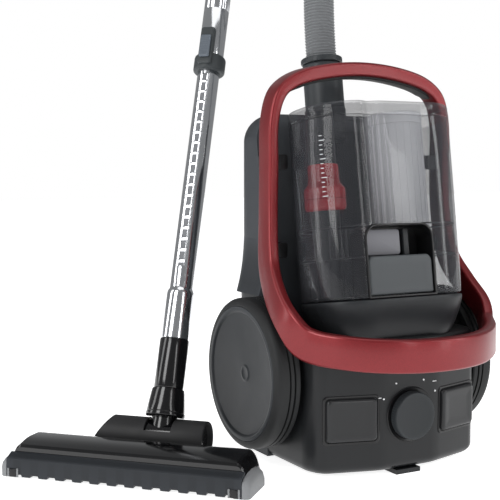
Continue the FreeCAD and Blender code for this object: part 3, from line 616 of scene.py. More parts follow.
def alongLine(points, section):
    # loops of section(i) = (radius, ...) circles set square to the line without twisting
    loops, side = [], None
    for i, point in enumerate(points):
        way = (points[min(i + 1, len(points) - 1)] - points[max(i - 1, 0)]).normalized()
        side = (side - way * side.dot(way)).normalized() if side else way.orthogonal().normalized()
        loops.append(section(i, point, side, way.cross(side)))
    return loops


def makeHose():
    points, length = evenly(hoseLine(), hose["pitch"] / 4)
    ribs = (0, 0.62, 1, 0.62)

    def section(i, point, side, up):
        radius = hose["radius"] - hose["groove"] * ribs[i % 4]
        if i < 4 or i > len(points) - 5:
            radius = hose["radius"] - hose["groove"]
        sides = hose["sides"]
        return [point + (side * math.cos(math.tau * k / sides) + up * math.sin(math.tau * k / sides)) * radius
            for k in range(sides)]
    tube = Shape().skin(alongLine(points, section))
    piece = tube.build("ribbedHose", hoseGrey, "canister", "hose", "hose_grey", sharp=75)
    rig.cord(piece, exit=hose["route"][0], length=round(length, 3), diameter=2 * hose["radius"], far_end="object",
        stiffness="medium", lay="hanging", path=points[::4])
    print("hose", round(length, 3), "m")


makeHose()


def makeCuff():
    body = [(0.0176, -0.022), (0.0204, -0.022), (0.0204, 0.0092), (0.0236, 0.0094), (0.0236, 0.06),
        (0.0232, 0.0618), (0.0222, 0.0628), (0.0201, 0.063), (0.0201, 0.0708), (0.0176, 0.0708)]
    Shape().spin(body, inletPlace, 96).build("hoseCuff", cuffGrey, "canister", "hose_cuff", "dark_grip")
    ring = [(0.0202, 0.0634), (0.0238, 0.0634), (0.0247, 0.0642), (0.0248, 0.0672), (0.0244, 0.0698),
        (0.0232, 0.0706), (0.0202, 0.0706)]
    grips = Shape().spin(ring, inletPlace, 96)
    for k in range(24):                              # finger ribs round the swivel ring
        grips.slab(0.0003, 0.0006, 0.0002, 0.0645, 0.0692, 0.0002, (0.0247, 0), inletPlace @ turn(15 * k, "Z"), 2)
    grips.build("swivelRing", cuffGrey, "swivel", "swivel_ring", "dark_grip")
    socket = [(0.021, -0.03), (0.0245, -0.03), (0.0245, 0.007), (0.0238, 0.0086), (0.0225, 0.009), (0.021, 0.0086)]
    Shape().spin(socket, inletPlace, 96).build("hoseSocket", cuffGrey, "canister", "hose_inlet", "dark_grip")


makeCuff()
print("hose fittings done")

# ---- housing
housing = {
    "corners": ((0.1115, -0.007, 0), (0.1115, -0.086, 0.034), (0.1045, -0.105, 0.02), (0.036, -0.124, 0.06),
    (-0.036, -0.124, 0.06), (-0.1045, -0.105, 0.02), (-0.1115, -0.086, 0.034), (-0.1115, -0.007, 0)),
    "low": 0.005, "high": 0.15, "half": 0.1115, "depth": 0.117, "split": -0.007,
    "button": (0.0285, 0.023), "buttonZ": 0.065, "dialZ": 0.0655,
}


def shellLoop(inset, z):
    wide = (housing["half"] - inset) / housing["half"]
    deep = (housing["depth"] - inset) / housing["depth"]
    split = housing["split"]
    return [(p.x * wide, split + (p.y - split) * deep, z) for p in roundedPlan(housing["corners"], 10)]


def makeFrontShell():
    low, high = housing["low"], housing["high"]
    loops = [shellLoop(0.016, low)]
    for k in range(7):                                # rounded bottom edge
        way = math.pi / 12 * k
        loops.append(shellLoop(0.012 * (1 - math.sin(way)), low + 0.011 * (1 - math.cos(way))))
    loops += [shellLoop(0, z) for z in (0.03, 0.06, 0.095, 0.138)]
    for k in range(1, 5):
        way = math.pi / 8 * k
        loops.append(shellLoop(0.006 * (1 - math.cos(way)), high - 0.006 + 0.006 * math.sin(way)))
    shell = Shape().skin(loops)
    shell.build("frontShell", shellBlack, "canister", "front_shell", "black_shell")
    gaps = Shape()
    for side in (-1, 1):                              # shadowed frames round the two keys
        x, y = housing["button"]
        at = (0, housing["buttonZ"])
        gaps.skin([roundRect(x + out, y + out, 0.005, z, at) for out, z in
            ((0.0034, -0.004), (0.0034, 0.0004), (0.0028, 0.0009), (0.0012, 0.0008), (0.0008, 0.0003),
            (0.0008, -0.004))], panelPlace(side), caps=(False, False))
    # dark disc behind the dial, its rim showing round the knob: painted shade in the gap round the dial
    gaps.spin([(0, 0.0005), (0.0288, 0.0005), (0.03, 0.001), (0.0306, 0.0004), (0.0306, -0.002), (0, -0.002)],
        move(0, -0.124, housing["dialZ"]) @ turn(90, "X"), 96)
    gaps.build("panelGaps", frameBlack, "canister", slot="black_shell")


def makeControls():
    x, y = housing["button"]
    for side, name, body in ((-1, "powerKey", "power_key"), (1, "rewindKey", "rewind_key")):
        key = Shape()
        at = (0, housing["buttonZ"])
        outline = []
        for inset, z in ((0.0004, -0.008), (0, -0.004), (0, 0.0022), (0.0003, 0.0032), (0.001, 0.0042),
            (0.0022, 0.0049), (0.004, 0.005), (0.008, 0.0044), (0.013, 0.0041)):
            outline.append(roundRect(x - inset, y - inset, max(0.0045 - inset * 0.3, 0.002), z, at, 8))
        key.skin(outline, panelPlace(side))
        key.build(name, keyBlack, body, "power_button" if side < 0 else "rewind_button", "button_black", 40)
    knob = [(0, 0.01), (0.02, 0.0103), (0.0235, 0.011), (0.025, 0.0108), (0.0257, 0.01), (0.026, 0.0085),
        (0.026, 0.0012), (0.004, 0.001), (0.004, -0.0135), (0, -0.0135)]
    place = move(0, -0.124, housing["dialZ"]) @ turn(90, "X")
    dial = Shape().spin(knob, place, 120)
    for k in range(60):                                # fine grip on the rim
        dial.slab(0.00025, 0.0005, 0.0002, 0.002, 0.0085, 0.0002, (0.0259, 0), place @ turn(6 * k, "Z"), 2)
    dial.build("suctionDial", dialGrey, "dial", "suction_dial", "dial_grey")
    marks = Shape()
    for angle in (-60, -28, 26, 56):                   # setting dots round the dial
        marks.spin([(0, -0.0004), (0.001, -0.0004), (0.001, 0.0006), (0.0008, 0.0008), (0, 0.0008)],
            place @ turn(-angle, "Z") @ move(0, 0.0405, 0), 16)
    for angle, wide in ((-66, 0.0018), (48, 0.0026)):
        marks.slab(wide, 0.0004, 0.0002, -0.0004, 0.0006, 0.0001, (0.044 * math.sin(math.radians(angle)),
            0.044 * math.cos(math.radians(angle)) + 0.004), place, 2)
    marks.build("dialMarks", inkWhite, "canister", slot="black_shell")


def makeWheelArches():
    # the hull swells outwards over each wheel
    swell = ((0.14, 0.0008), (0.16, 0.003), (0.1888, 0.0046), (0.1893, 0.0116), (0.1945, 0.01), (0.202, 0.0078),
        (0.212, 0.0052), (0.224, 0.0029), (0.238, 0.0012), (0.252, 0.0001))
    arches = Shape()
    for side in (-1, 1):
        loops = []
        for k in range(19):
            y = -0.0065 + 0.0745 * k / 18
            back = max(0, y - 0.042)
            wall = 0.0795 + math.sqrt(0.032 ** 2 - back ** 2)
            fade = math.cos(math.pi / 2 * min(1, back / 0.027)) ** 0.6 if back else 1
            outer = [(side * (wall + out * fade), y, z) for z, out in swell]
            inner = [(side * (wall - 0.0015), y, z) for z, _ in reversed(swell)]
            loops.append(outer + inner)
        arches.skin(loops)
    arches.build("wheelArches", hullBlack, "canister", slot="black_shell", sharp=50)


makeFrontShell()
makeControls()
makeWheelArches()
print("housing done")

# ---- dust container, its seat and grip
cup = {
    "halfX": 0.0935, "halfY": 0.059, "round": 0.052, "tall": 0.197, "lid": 0.015, "wall": 0.0024,
    "valleyX": -0.038, "valleyDeep": 0.0042, "valleyWide": 0.0085,
    "gripX": -0.012, "gripHalf": 0.045, "gripTall": 0.079, "gripDeep": 0.031,
}


def cupLoop(inset, z, valley=1.0):
    halfX, halfY, r = cup["halfX"] - inset, cup["halfY"] - inset, cup["round"] - inset
    loop = []
    for k, (sx, sy) in enumerate(((1, 1), (-1, 1), (-1, -1), (1, -1))):
        for i in range(19):
            way = math.pi / 2 * (k + i / 18)
            loop.append([sx * (halfX - r) + r * math.cos(way), sy * (halfY - r) + r * math.sin(way), z])
        start, stop = loop[-1], None
        if k in (0, 2):                                # the long straight sides get points of their own
            span = 2 * (halfX - r)
            for i in range(1, 28):
                loop.append([start[0] - sx * span * i / 28, start[1], z])
    for point in loop:
        if point[1] < 0:
            point[1] += valley * cup["valleyDeep"] * math.exp(-((point[0] - cup["valleyX"]) / cup["valleyWide"]) ** 2)
        else:
            point[1] -= valley * 0.6 * cup["valleyDeep"] * math.exp(-((point[0] - 0.022) / cup["valleyWide"]) ** 2)
    return loop


def gripLoop(inset, z, radius=0.016):
    tall = cup["gripTall"]
    return roundRect(cup["gripHalf"] - inset, tall / 2 - inset, radius - min(inset, 0.012), z,
        (cup["gripX"], tall / 2), 10, 0.0012)


def makeCup():
    tall, wall = cup["tall"], cup["wall"]
    loops = [cupLoop(0.006, 0.0004), cupLoop(0.0012, 0.0006), cupLoop(0.0003, 0.0014), cupLoop(0, 0.003)]
    loops += [cupLoop(0, z) for z in (0.05, 0.1, 0.15, tall - 0.001)]
    loops += [cupLoop(0.0004, tall), cupLoop(wall - 0.0004, tall), cupLoop(wall, tall - 0.001)]
    loops += [cupLoop(wall, z) for z in (0.1, 0.004)] + [cupLoop(wall + 0.002, wall)]
    shell = Shape().skin(loops, cupPlace).build("dustContainer", clearSmoke, "dust_container", "dust_cup",
        "smoked_clear")
    hole = Shape().skin([gripLoop(-0.0003, 0.0277), gripLoop(-0.0003, 0.064)], cupFace)
    subtracted(shell, cutter(hole))

    top = tall + cup["lid"]
    lid = [cupLoop(0.0045, tall + 0.0004), cupLoop(0, tall + 0.0004), cupLoop(-0.0004, tall + 0.0015),
        cupLoop(-0.0004, tall + 0.0035), cupLoop(0.0002, tall + 0.0045), cupLoop(0.0002, top - 0.003),
        cupLoop(0.0008, top - 0.0012), cupLoop(0.0022, top - 0.0001), cupLoop(0.0036, top - 0.0004),
        cupLoop(0.0045, top - 0.0022), cupLoop(0.012, top - 0.0026)]
    Shape().skin(lid, cupPlace, caps=(False, True)).build("containerLid", clearSmoke, "dust_container", "cup_lid",
        "smoked_clear")
    seals = Shape()
    for z in (0.044, 0.078):                         # two moulded ledges inside the container
        seals.skin([cupLoop(wall + 0.0002, z), cupLoop(wall + 0.0002, z + 0.0014),
            cupLoop(wall + 0.0042, z + 0.0014), cupLoop(wall + 0.0042, z)], cupPlace, ring=True)
    shelf = seals.build("containerLedges", ductBlack, "dust_container", slot="smoked_clear")
    subtracted(shelf, cutter(Shape().skin([gripLoop(-0.001, 0.027), gripLoop(-0.001, 0.064)], cupFace)))


def makeCupInsides():
    top = cup["tall"] + cup["lid"] - 0.0035
    duct = [(0.013, 0.003), (0.0148, 0.003), (0.015, 0.0045), (0.015, top - 0.0005), (0.0145, top), (0.013, top)]
    Shape().spin(duct, cupPlace @ move(-0.066, 0, 0), 72).build("airDuct", ductBlack, "dust_container",
        "inlet_duct", "smoked_clear")
    cone = [(0.0153, 0.0985), (0.0205, 0.0985), (0.0218, 0.0992), (0.0235, 0.102), (0.0235, 0.111),
        (0.0229, 0.1116),
        (0.0235, 0.1122), (0.0235, 0.1225), (0.0226, 0.1245), (0.019, 0.129), (0.0178, 0.133), (0.0174, 0.148),
        (0.0168, 0.1497), (0.0153, 0.1498)]
    Shape().spin(cone, cupPlace @ move(-0.066, 0, 0), 72).build("cycloneCone", coneRed, "dust_container",
        "cyclone_cone", "red_insert")
    place = cupPlace @ move(0.04, 0.009, 0)
    shroud = [(0.0305, 0.0665), (0.0322, 0.066), (0.033, 0.067), (0.033, 0.078), (0.0324, 0.0786), (0.0324, 0.196),
        (0.033, 0.1966), (0.033, top), (0.0305, top)]
    sieve = Shape().spin(shroud, place, 96)
    for k in range(24):                                # ribs that hold the gauze
        sieve.slab(0.0004, 0.0007, 0.0003, 0.079, 0.195, 0.0003, (0.0325, 0), place @ turn(15 * k, "Z"), 2)
    sieve.build("meshShroud", gauzeGrey, "dust_container", "mesh_shroud", "grey_mesh")
    ribs = Shape()
    for k in range(9):                                 # vane ring below the cone
        ribs.slab(0.0007, 0.0035, 0.0004, 0.046, 0.0765, 0.0004, (0, -0.0205),
            cupPlace @ move(-0.056, 0, 0) @ turn(16 * k - 50, "Z"), 2)
    ribs.slab(0.02, 0.018, 0.006, 0.004, 0.043, 0.002, (-0.06, 0.006), cupPlace)
    ribs.build("vaneRing", innerGrey, "dust_container", slot="smoked_clear")


def makeSeat():
    loops = []
    for inset, z in ((0.024, -0.059), (0.0205, -0.05), (0.015, -0.04), (0.0095, -0.03), (0.005, -0.02),
        (0.0018, -0.011), (0.0004, -0.006), (0, -0.003), (0.0004, -0.0014), (0.0016, -0.0006), (0.006, -0.0005)):
        loops.append([(p[0], p[1] if q[1] < 0 else q[1], z) for p, q in zip(cupLoop(inset, z, 0),
            cupLoop(0.0004, z, 0))])
    seat = Shape().skin(loops, cupPlace, caps=(False, True))
    seat.build("containerSeat", deckGrey, "canister", "seat_deck", "black_shell")


def makeGrip():
    deep = cup["halfY"] - cup["gripDeep"]
    loops = [gripLoop(0.0002, deep + 0.0006), gripLoop(0.0001, 0.0575), gripLoop(0.0003, 0.0586),
        gripLoop(0.0009, 0.0589),
        gripLoop(0.0018, 0.0588), gripLoop(0.0024, 0.058), gripLoop(0.0025, 0.056), gripLoop(0.0025, deep + 0.0026)]
    Shape().skin(loops, cupFace).build("gripPocket", frameBlack, "dust_container", "cup_grip", "dark_grip")
    plates = Shape()
    plates.slab(0.0265, 0.014, 0.004, deep + 0.0028, deep + 0.015, 0.001, (cup["gripX"] - 0.0155, 0.06), cupFace)
    plates.build("gripPlate", plateGrey, "dust_container", slot="grey_latch")
    post = Shape().slab(0.0035, 0.0145, 0.001, deep + 0.0028, deep + 0.016, 0.0008,
        (cup["gripX"] + 0.0185, 0.0595), cupFace)
    post.build("gripPost", deckGrey, "dust_container", slot="dark_grip")
    pad = []
    for inset, z in ((0.0006, 0.0493), (0, 0.05), (0, 0.0548), (0.0005, 0.056), (0.0015, 0.0567), (0.0032, 0.057),
        (0.01, 0.0566)):
        pad.append(roundRect(0.0419 - inset, 0.0208 - inset, 0.0075, z, (cup["gripX"], 0.024), 10, 0.0015))
    Shape().skin(pad, cupFace).build("latchPad", latchGrey, "latch_pad", "cup_latch", "grey_latch")


def makeLevelMarks():
    # generic filling marks on the container's left front
    marks = Shape()
    place = cupPlace @ move(-0.0857, -0.034, 0) @ turn(-50, "Z") @ turn(90, "X")
    for k in range(14):
        wide = 0.003 if k % 4 == 0 else 0.0017
        marks.slab(wide, 0.0003, 0.0002, -0.0006, 0.0004, 0.0001, (wide - 0.004, 0.112 + 0.005 * k), place, 2)
    marks.build("levelMarks", inkWhite, "dust_container", slot="smoked_clear")


makeCup()
makeCupInsides()
makeSeat()
makeGrip()
makeLevelMarks()
print("dust container done")

# ---- ring frame
ring = {  # centre, outward way, thickness and depth, from the band's middle up one side
    "half": (((0, -0.181, 0.1405), (0, -1, 0), 0.014, 0.035), ((0.0519, -0.171, 0.141), (0.3, -0.95, 0), 0.014,
    0.035),
    ((0.095, -0.142, 0.1435), (0.62, -0.78, 0), 0.014, 0.035), ((0.122, -0.106, 0.15), (0.84, -0.54, 0), 0.013,
    0.035),
    ((0.132, -0.085, 0.1705), (0.95, -0.31, 0), 0.013, 0.031), ((0.1305, -0.057, 0.1945), (1, -0.1, 0), 0.013,
    0.031),
    ((0.1245, -0.032, 0.2265), (1, 0, 0), 0.013, 0.031), ((0.1195, -0.0215, 0.2805), (1, 0, 0), 0.013, 0.027),
    ((0.118, -0.02, 0.335), (1, 0, 0), 0.013, 0.027), ((0.117, -0.02, 0.386), (1, 0, 0.12), 0.013, 0.027),
    ((0.105, -0.02, 0.418), (0.62, 0, 0.78), 0.015, 0.027), ((0.0708, -0.02, 0.4355), (0.24, 0, 0.97), 0.017,
    0.027)), "top": ((0, -0.02, 0.444), (0, 0, 1), 0.017, 0.027), "round": 0.0032, "crown": 0.0007, "steps": 12,
}


def ringRows(first=0, last=None):
    # smooth rows (centre, along, outward, thickness, depth) round the ring
    half = ring["half"]
    stations = list(half) + [ring["top"]] + [((-c[0], c[1], c[2]), (-n[0], n[1], n[2]), t, d) for c, n, t,
        d in half[:0:-1]]
    values = [(*c, *n, t, d) for c, n, t, d in stations]
    count, steps = len(values), ring["steps"]
    span = [(Vector(values[(i + 1) % count][:3]) - Vector(values[i][:3])).length for i in range(count)]
    slope = [[(c - a) / (span[i] + span[i - 1]) for a, c in zip(values[i - 1], values[(i + 1) % count])]
        for i in range(count)]
    rows = []
    for i in range(first, count if last is None else last):
        j = (i + 1) % count
        for step in range(steps):
            t = step / steps
            keep, lead, trail = (1 + 2 * t) * (1 - t) ** 2, t * (1 - t) ** 2 * span[i], t * t * (t - 1) * span[i]
            rows.append([keep * a + (1 - keep) * b + lead * u + trail * v
                for a, b, u, v in zip(values[i], values[j], slope[i], slope[j])])
    return rows


def ringSection(row, along, halfThick, halfDeep, round_, crown=0.0, shift=0.0):
    out = Vector(row[3:6])
    out = (out - along * out.dot(along)).normalized()
    wide = along.cross(out)
    loop = []
    for x, y, _ in roundRect(halfThick, halfDeep, round_, 0, steps=5):
        if x > 0:
            x += crown * (1 - (y / halfDeep) ** 2)
        loop.append(Vector(row[:3]) + out * (x + shift) + wide * y)
    return loop


def makeRing():
    rows = ringRows()
    loops = []
    for i, row in enumerate(rows):
        along = (Vector(rows[(i + 1) % len(rows)][:3]) - Vector(rows[i - 1][:3])).normalized()
        loops.append(ringSection(row, along, row[6] / 2 - ring["crown"], row[7] / 2, ring["round"], ring["crown"]))
    Shape().skin(loops, ring=True).build("ringFrame", ringRed, "canister", "ring_frame", "red_frame", 50)
    rows = ringRows(10, 14)                            # near-black strip under the top bar: painted shade on the bar's underside
    loops = []
    for i in range(1, len(rows) - 1):
        along = (Vector(rows[i + 1][:3]) - Vector(rows[i - 1][:3])).normalized()
        end = min(1, min(i, len(rows) - 1 - i) / 5)
        loops.append(ringSection(rows[i], along, 0.0014 * end + 0.0004, 0.0095 * (0.5 + 0.5 * end), 0.0008,
            shift=-rows[i][6] / 2))
    Shape().skin(loops).build("topBarUndersideShade", undersideShadeBlack, "canister", slot="dark_grip", sharp=50)
    arms = Shape()                                     # short arms that hold the ring to the hull
    for side in (-1, 1):
        for z, depth in ((0.241, 0.0225), (0.339, 0.038)):
            arms.slab(0.0085, 0.0085, 0.003, 0, depth, 0.0006, (side * 0.1052, -z),
                move(0, -0.0255, 0) @ turn(-90, "X"), 4)
    arms.build("ringArms", frameBlack, "canister", slot="red_frame")


makeRing()
print("ring frame done")

# ---- wheels
wheel = {
    "face": ((0, 0.1405), (0.006, 0.1404), (0.007, 0.1409), (0.008, 0.1409), (0.0092, 0.1403), (0.011, 0.1402),
    (0.025, 0.1406), (0.042, 0.1417), (0.058, 0.1434), (0.068, 0.1449), (0.0694, 0.1462), (0.0702, 0.1468),
    (0.0722, 0.147), (0.075, 0.1468), (0.075, 0.119), (0.071, 0.119), (0.071, 0.138), (0.015, 0.138),
    (0.015, 0.118), (0.00605, 0.118), (0.00605, 0.1396), (0, 0.1396)),
    "tread": ((0.0755, 0.1171), (0.0812, 0.1171), (0.0834, 0.1178), (0.0845, 0.1192), (0.0845, 0.1238),
    (0.0822, 0.1243),
    (0.0822, 0.1257), (0.0845, 0.1262), (0.0845, 0.1298), (0.0826, 0.1303), (0.0826, 0.1315), (0.0845, 0.132),
    (0.0845, 0.1395), (0.0841, 0.1415), (0.0828, 0.1438), (0.0805, 0.1457), (0.0778, 0.1466), (0.0755, 0.1468)),
}


def makeWheels():
    for side, word in ((-1, "left"), (1, "right")):
        Shape().spin(wheel["face"], wheelPlace(side), 144).build(f"wheelDisc_{word}", wheelBlack, f"{word}_wheel",
            f"wheel_{word}", "wheel_black")
        Shape().spin(wheel["tread"], wheelPlace(side), 144).build(f"wheelTread_{word}", treadBlack, f"{word}_wheel",
            f"tyre_{word}", "tyre_black")


makeWheels()
print("wheels done")

# ---- telescopic wand
wand = {
    "inner": 0.0135, "socket": 0.016, "sleeve": 0.017, "outer": 0.01575, "collar": 0.0195,
    "sleeveLow": 0.054, "sleeveHigh": 0.111, "socketHigh": 0.166, "innerHigh": 0.705, "collarLow": 0.447,
    "collarHigh": 0.468, "outerHigh": 0.895, "notchLow": 0.206, "pitch": 0.0135, "count": 17,
}


def makeTubes():
    w = wand
    inner = [(0.0126, 0.057), (0.0134, 0.057), (0.0134, 0.1113), (0.0158, 0.1114), (0.016, 0.1124),
        (0.016, w["socketHigh"] - 0.003), (0.0158, w["socketHigh"]), (0.0152, w["socketHigh"] + 0.0022),
        (0.014, w["socketHigh"] + 0.0042), (w["inner"], w["socketHigh"] + 0.006),
        (w["inner"], w["innerHigh"] - 0.001), (w["inner"] - 0.0005, w["innerHigh"]), (0.0126, w["innerHigh"])]
    tube = Shape().spin(inner, wandPlace, 96).build("lowerTube", chrome, "lower_tube", "inner_tube", "chrome_tube")
    low, high = w["notchLow"] - 0.01, w["notchLow"] + w["pitch"] * w["count"] + 0.006
    flat = Shape().slab(0.0056, (high - low) / 2, 0.003, 0.0122, 0.016, 0.0003, (0, (high + low) / 2), wandFace)
    subtracted(tube, cutter(flat))
    floor = Shape().slab(0.0055, (high - low) / 2 - 0.0002, 0.003, 0.0108, 0.0118, 0.0002, (0, (high + low) / 2),
        wandFace)
    floor.build("notchFloor", windowSteel, "lower_tube", slot="chrome_tube")
    ladder = Shape()
    for k in range(w["count"] + 1):                    # the rungs between the locking notches
        middle = w["notchLow"] - 0.0035 + w["pitch"] * k
        ladder.slab(0.0049, 0.0019, 0.0006, 0.0112, 0.0125, 0.0005, (0, middle), wandFace, 3)
    for x in (-0.0047, 0.0047):
        ladder.slab(0.0009, (high - low) / 2 - 0.001, 0.0006, 0.0112, 0.0121, 0.0004, (x, (high + low) / 2),
            wandFace, 3)
    ladder.build("notchLadder", chrome, "lower_tube", slot="chrome_tube")
    sleeve = [(0.01355, w["sleeveLow"]), (0.0166, w["sleeveLow"]), (0.017, w["sleeveLow"] + 0.001),
        (0.017, w["sleeveHigh"] - 0.0012),
        (0.0166, w["sleeveHigh"] - 0.0002), (0.0158, w["sleeveHigh"]), (0.01355, w["sleeveHigh"])]
    Shape().spin(sleeve, wandPlace, 96).build("tubeSleeve", glossBlack, "lower_tube", "wand_sleeve", "gloss_black")
    outer = [(0.01485, w["collarHigh"] + 0.0004), (0.0157, w["collarHigh"] + 0.0004),
        (w["outer"], w["collarHigh"] + 0.001),
        (w["outer"], 0.53), (0.0154, 0.5306), (0.0154, 0.5316), (w["outer"], 0.5322),
        (w["outer"], w["outerHigh"] - 0.001), (0.0153, w["outerHigh"]), (0.01485, w["outerHigh"])]
    Shape().spin(outer, wandPlace, 96).build("upperTube", chrome, "canister", "outer_tube", "chrome_tube")


def makeCollar():
    w = wand
    low, high, r = w["collarLow"], w["collarHigh"], w["collar"]
    profile = [(0.01356, low + 0.0002), (r - 0.0028, low), (r - 0.0012, low + 0.0005), (r - 0.0003, low + 0.0016),
        (r, low + 0.003),
        (r, high - 0.004), (r - 0.0004, high - 0.002), (r - 0.0016, high - 0.0005), (r - 0.003, high),
        (0.01356, high)]
    collar = Shape().spin(profile, wandPlace, 96)
    collar.skin([roundRect(0.0088 - i, 0.0245 - i, 0.003, z, (0, 0.476), 6) for i, z in
        ((0, 0.0142), (0, 0.02), (0.0004, 0.0212), (0.0014, 0.0219), (0.003, 0.0221))], wandFace)
    collar.build("wandCollar", collarGrey, "canister", "wand_collar", "dark_grip")
    key = Shape().skin([roundRect(0.0064 - i, 0.0145 - i, 0.002, z, (0, 0.4735), 6) for i, z in
        ((0, 0.0232), (0, 0.0247), (0.0005, 0.0254), (0.0016, 0.0257), (0.003, 0.0256))], wandFace)
    for k in range(5):
        key.slab(0.0046, 0.0004, 0.0002, 0.0253, 0.0257, 0.0001, (0, 0.4675 + 0.003 * k), wandFace, 2)
    key.build("lockKey", sliderBlue, "tube_lock", "lock_slider", "grey_latch")


def makeHandle():
    bend = math.radians(50)
    lead = 0.06 * math.tan(bend / 2)
    corner = Vector((0, 0, 0.935 + lead))
    ahead = Vector((0, math.sin(bend), math.cos(bend)))
    end = corner + ahead * (lead + 0.12)
    points = [Vector((0, 0, 0.865)) + Vector((0, 0, 0.0025)) * k for k in range(28)]
    middle = Vector((0, 0.06, 0.935))
    for k in range(19):
        way = bend * k / 18
        points.append(middle + Vector((0, -0.06 * math.cos(way), 0.06 * math.sin(way))))
    points += [corner + ahead * (lead + 0.12 * k / 40) for k in range(1, 41)]
    total = len(points)

    def section(i, point, side, up):
        share = i / (total - 1)
        radius = 0.0178 - 0.0012 * math.sin(math.pi * min(1, max(0, (share - 0.35) / 0.5))) ** 2
        if i < 3:
            radius = 0.0165 + 0.0004 * i
        if share > 0.93:
            radius = 0.0182
        finger = 0.0007 * math.sin(i * 0.75) if 0.55 < share < 0.88 else 0
        loop = []
        for k in range(40):
            way = math.tau * k / 40
            loop.append(point + (side * math.cos(way) + up * math.sin(way)) * (radius + finger * max(0,
                math.sin(way))))
        return loop
    outer = alongLine(points, section)
    bore = alongLine(points, lambda i, p, side,
        up: [p + (side * math.cos(math.tau * k / 40) + up * math.sin(math.tau * k / 40))
        * (0.01582 if i < 12 else 0.0148) for k in range(40)])
    grip = Shape().skin(outer + bore[::-1], wandPlace, ring=True)
    grip.build("wandHandle", cuffGrey, "canister", "wand_handle", "dark_grip", 50)
    gripPlace = wandPlace @ move(*end) @ turn(-50, "X")
    vent = Shape().slab(0.0078, 0.0088, 0.002, 0.0189, 0.0222, 0.0006, (0, 0),
        gripPlace @ move(0, 0, -0.043) @ turn(90, "X") @ turn(180, "Y"))
    for k in range(4):
        vent.slab(0.006, 0.0004, 0.0002, 0.022, 0.0225, 0.0001, (0, 0.003 * k - 0.0045),
            gripPlace @ move(0, 0, -0.043) @ turn(90, "X") @ turn(180, "Y"), 2)
    vent.build("suctionVent", latchGrey, "suction_vent", "suction_slider", "grey_latch")


makeTubes()
makeCollar()
makeHandle()
print("wand done")

# ---- floor nozzle
nozzle = {
    "half": 0.133, "skirt": 0.141, "deep": 0.062, "high": 0.038, "slant": 0.011, "scallop": 0.02,
}


def coverLoop(x, share):
    # side view of the glossy cover; share 1 is full height, 0 is the slanted end's foot
    high = 0.0205 + (nozzle["high"] - 0.0205) * share
    lip = 0.0205 + 0.011 * share
    shape = ((0.009, 0.0128), (0.0096, lip - 0.0006), (0.0104, lip + 0.0004), (0.0122, lip + 0.0022),
        (0.018, high - 0.0024),
        (0.025, high - 0.0008), (0.033, high), (0.05, high - 0.0002), (0.056, high - 0.0012), (0.06, high - 0.0036),
        (0.0618, high - 0.0075), (0.0618, 0.0128))
    return [(x, y, min(z, high)) for y, z in shape]


def makeCover():
    half, slant = nozzle["half"], nozzle["slant"]
    loops = []
    for side in (-1, 1):
        ends = []
        for k in range(9):
            share = k / 8
            ends.append(coverLoop(side * (half - slant * share ** 1.15 * 0.9), math.sin(math.pi / 2 * share)))
        loops += ends if side < 0 else ends[::-1]
    Shape().skin(loops, nozzlePlace).build("nozzleCover", glossBlack, "floor_head", "nozzle_cover", "gloss_black",
        26)


def makeFrontPanel():
    half, pitch = nozzle["half"], nozzle["scallop"]
    loops = []
    edges = [(-half, 0.0032)]
    count = int(2 * half / pitch)
    start = -count * pitch / 2
    for k in range(count):
        a = start + k * pitch
        edges += [(a + 0.0048, 0.0018), (a + 0.006, 0.005), (a + 0.014, 0.005), (a + 0.0152, 0.0018)]
    edges.append((half, 0.0032))
    for x, foot in edges:
        loops.append([(x, 0.0036, foot), (x, -0.0026, foot), (x, -0.003, foot + 0.0006), (x, -0.003, 0.019),
            (x, -0.0026, 0.0212),
            (x, -0.0014, 0.0224), (x, 0.0002, 0.0228), (x, 0.004, 0.0248), (x, 0.008, 0.0262), (x, 0.0086, 0.0262),
            (x, 0.0086, 0.0145), (x, 0.0036, 0.014)])
    panel = Shape().skin(loops, nozzlePlace)
    panel.build("nozzlePanel", panelGrey, "floor_head", "nozzle_front", "charcoal", 26)
    blocks = Shape()                                   # roller housings at the two front corners
    for side in (-1, 1):
        blocks.slab(0.0042, 0.0008, 0.001, 0.0022, 0.0105, 0.0003, (side * 0.125, -0.0036), nozzlePlace, 3)
    blocks.build("rollerDoors", frameBlack, "floor_head", slot="charcoal")


def makeSkirts():
    skirts = Shape()
    profile = ((-0.0028, 0.0012), (-0.003, 0.003), (-0.003, 0.015), (-0.0016, 0.0185), (0.004, 0.0215),
        (0.016, 0.0235), (0.03, 0.024), (0.044, 0.0225), (0.052, 0.018), (0.056, 0.011), (0.056, 0.0012))
    for side in (-1, 1):
        loops = []
        for x, high, inset in ((0.1333, 1, 0), (0.1362, 0.97, 0), (0.139, 0.86, 0.0012), (0.1404, 0.7, 0.003),
            (0.141, 0.52, 0.006)):
            loops.append([(side * x, y + (inset if y < 0.01 else -inset * (y / 0.056)),
                0.001 + (z - 0.001) * high) for y, z in profile])
        skirts.skin(loops, nozzlePlace)
        for x in (0.1196, 0.1304):                    # cheeks beside the corner rollers
            skirts.slab(0.0011, 0.0007, 0.0005, 0.0018, 0.0112, 0.0003, (side * x, -0.0036), nozzlePlace, 3)
    skirts.build("endSkirts", skirtGrey, "floor_head", "end_skirts", "skirt_grey", 40)


def makeBrush():
    random.seed(5)
    tufts = Shape()
    for k in range(56):
        x = -0.11 + 0.004 * k
        tufts.slab(0.0016, 0.0018, 0.0008, 0.0005 + random.uniform(0, 0.0003), 0.0019, 0.0002, (x, 0.031),
            nozzlePlace, 2)
    tufts.build("brushTufts", bristleBlack, "floor_head", "brush_strip", "bristle")


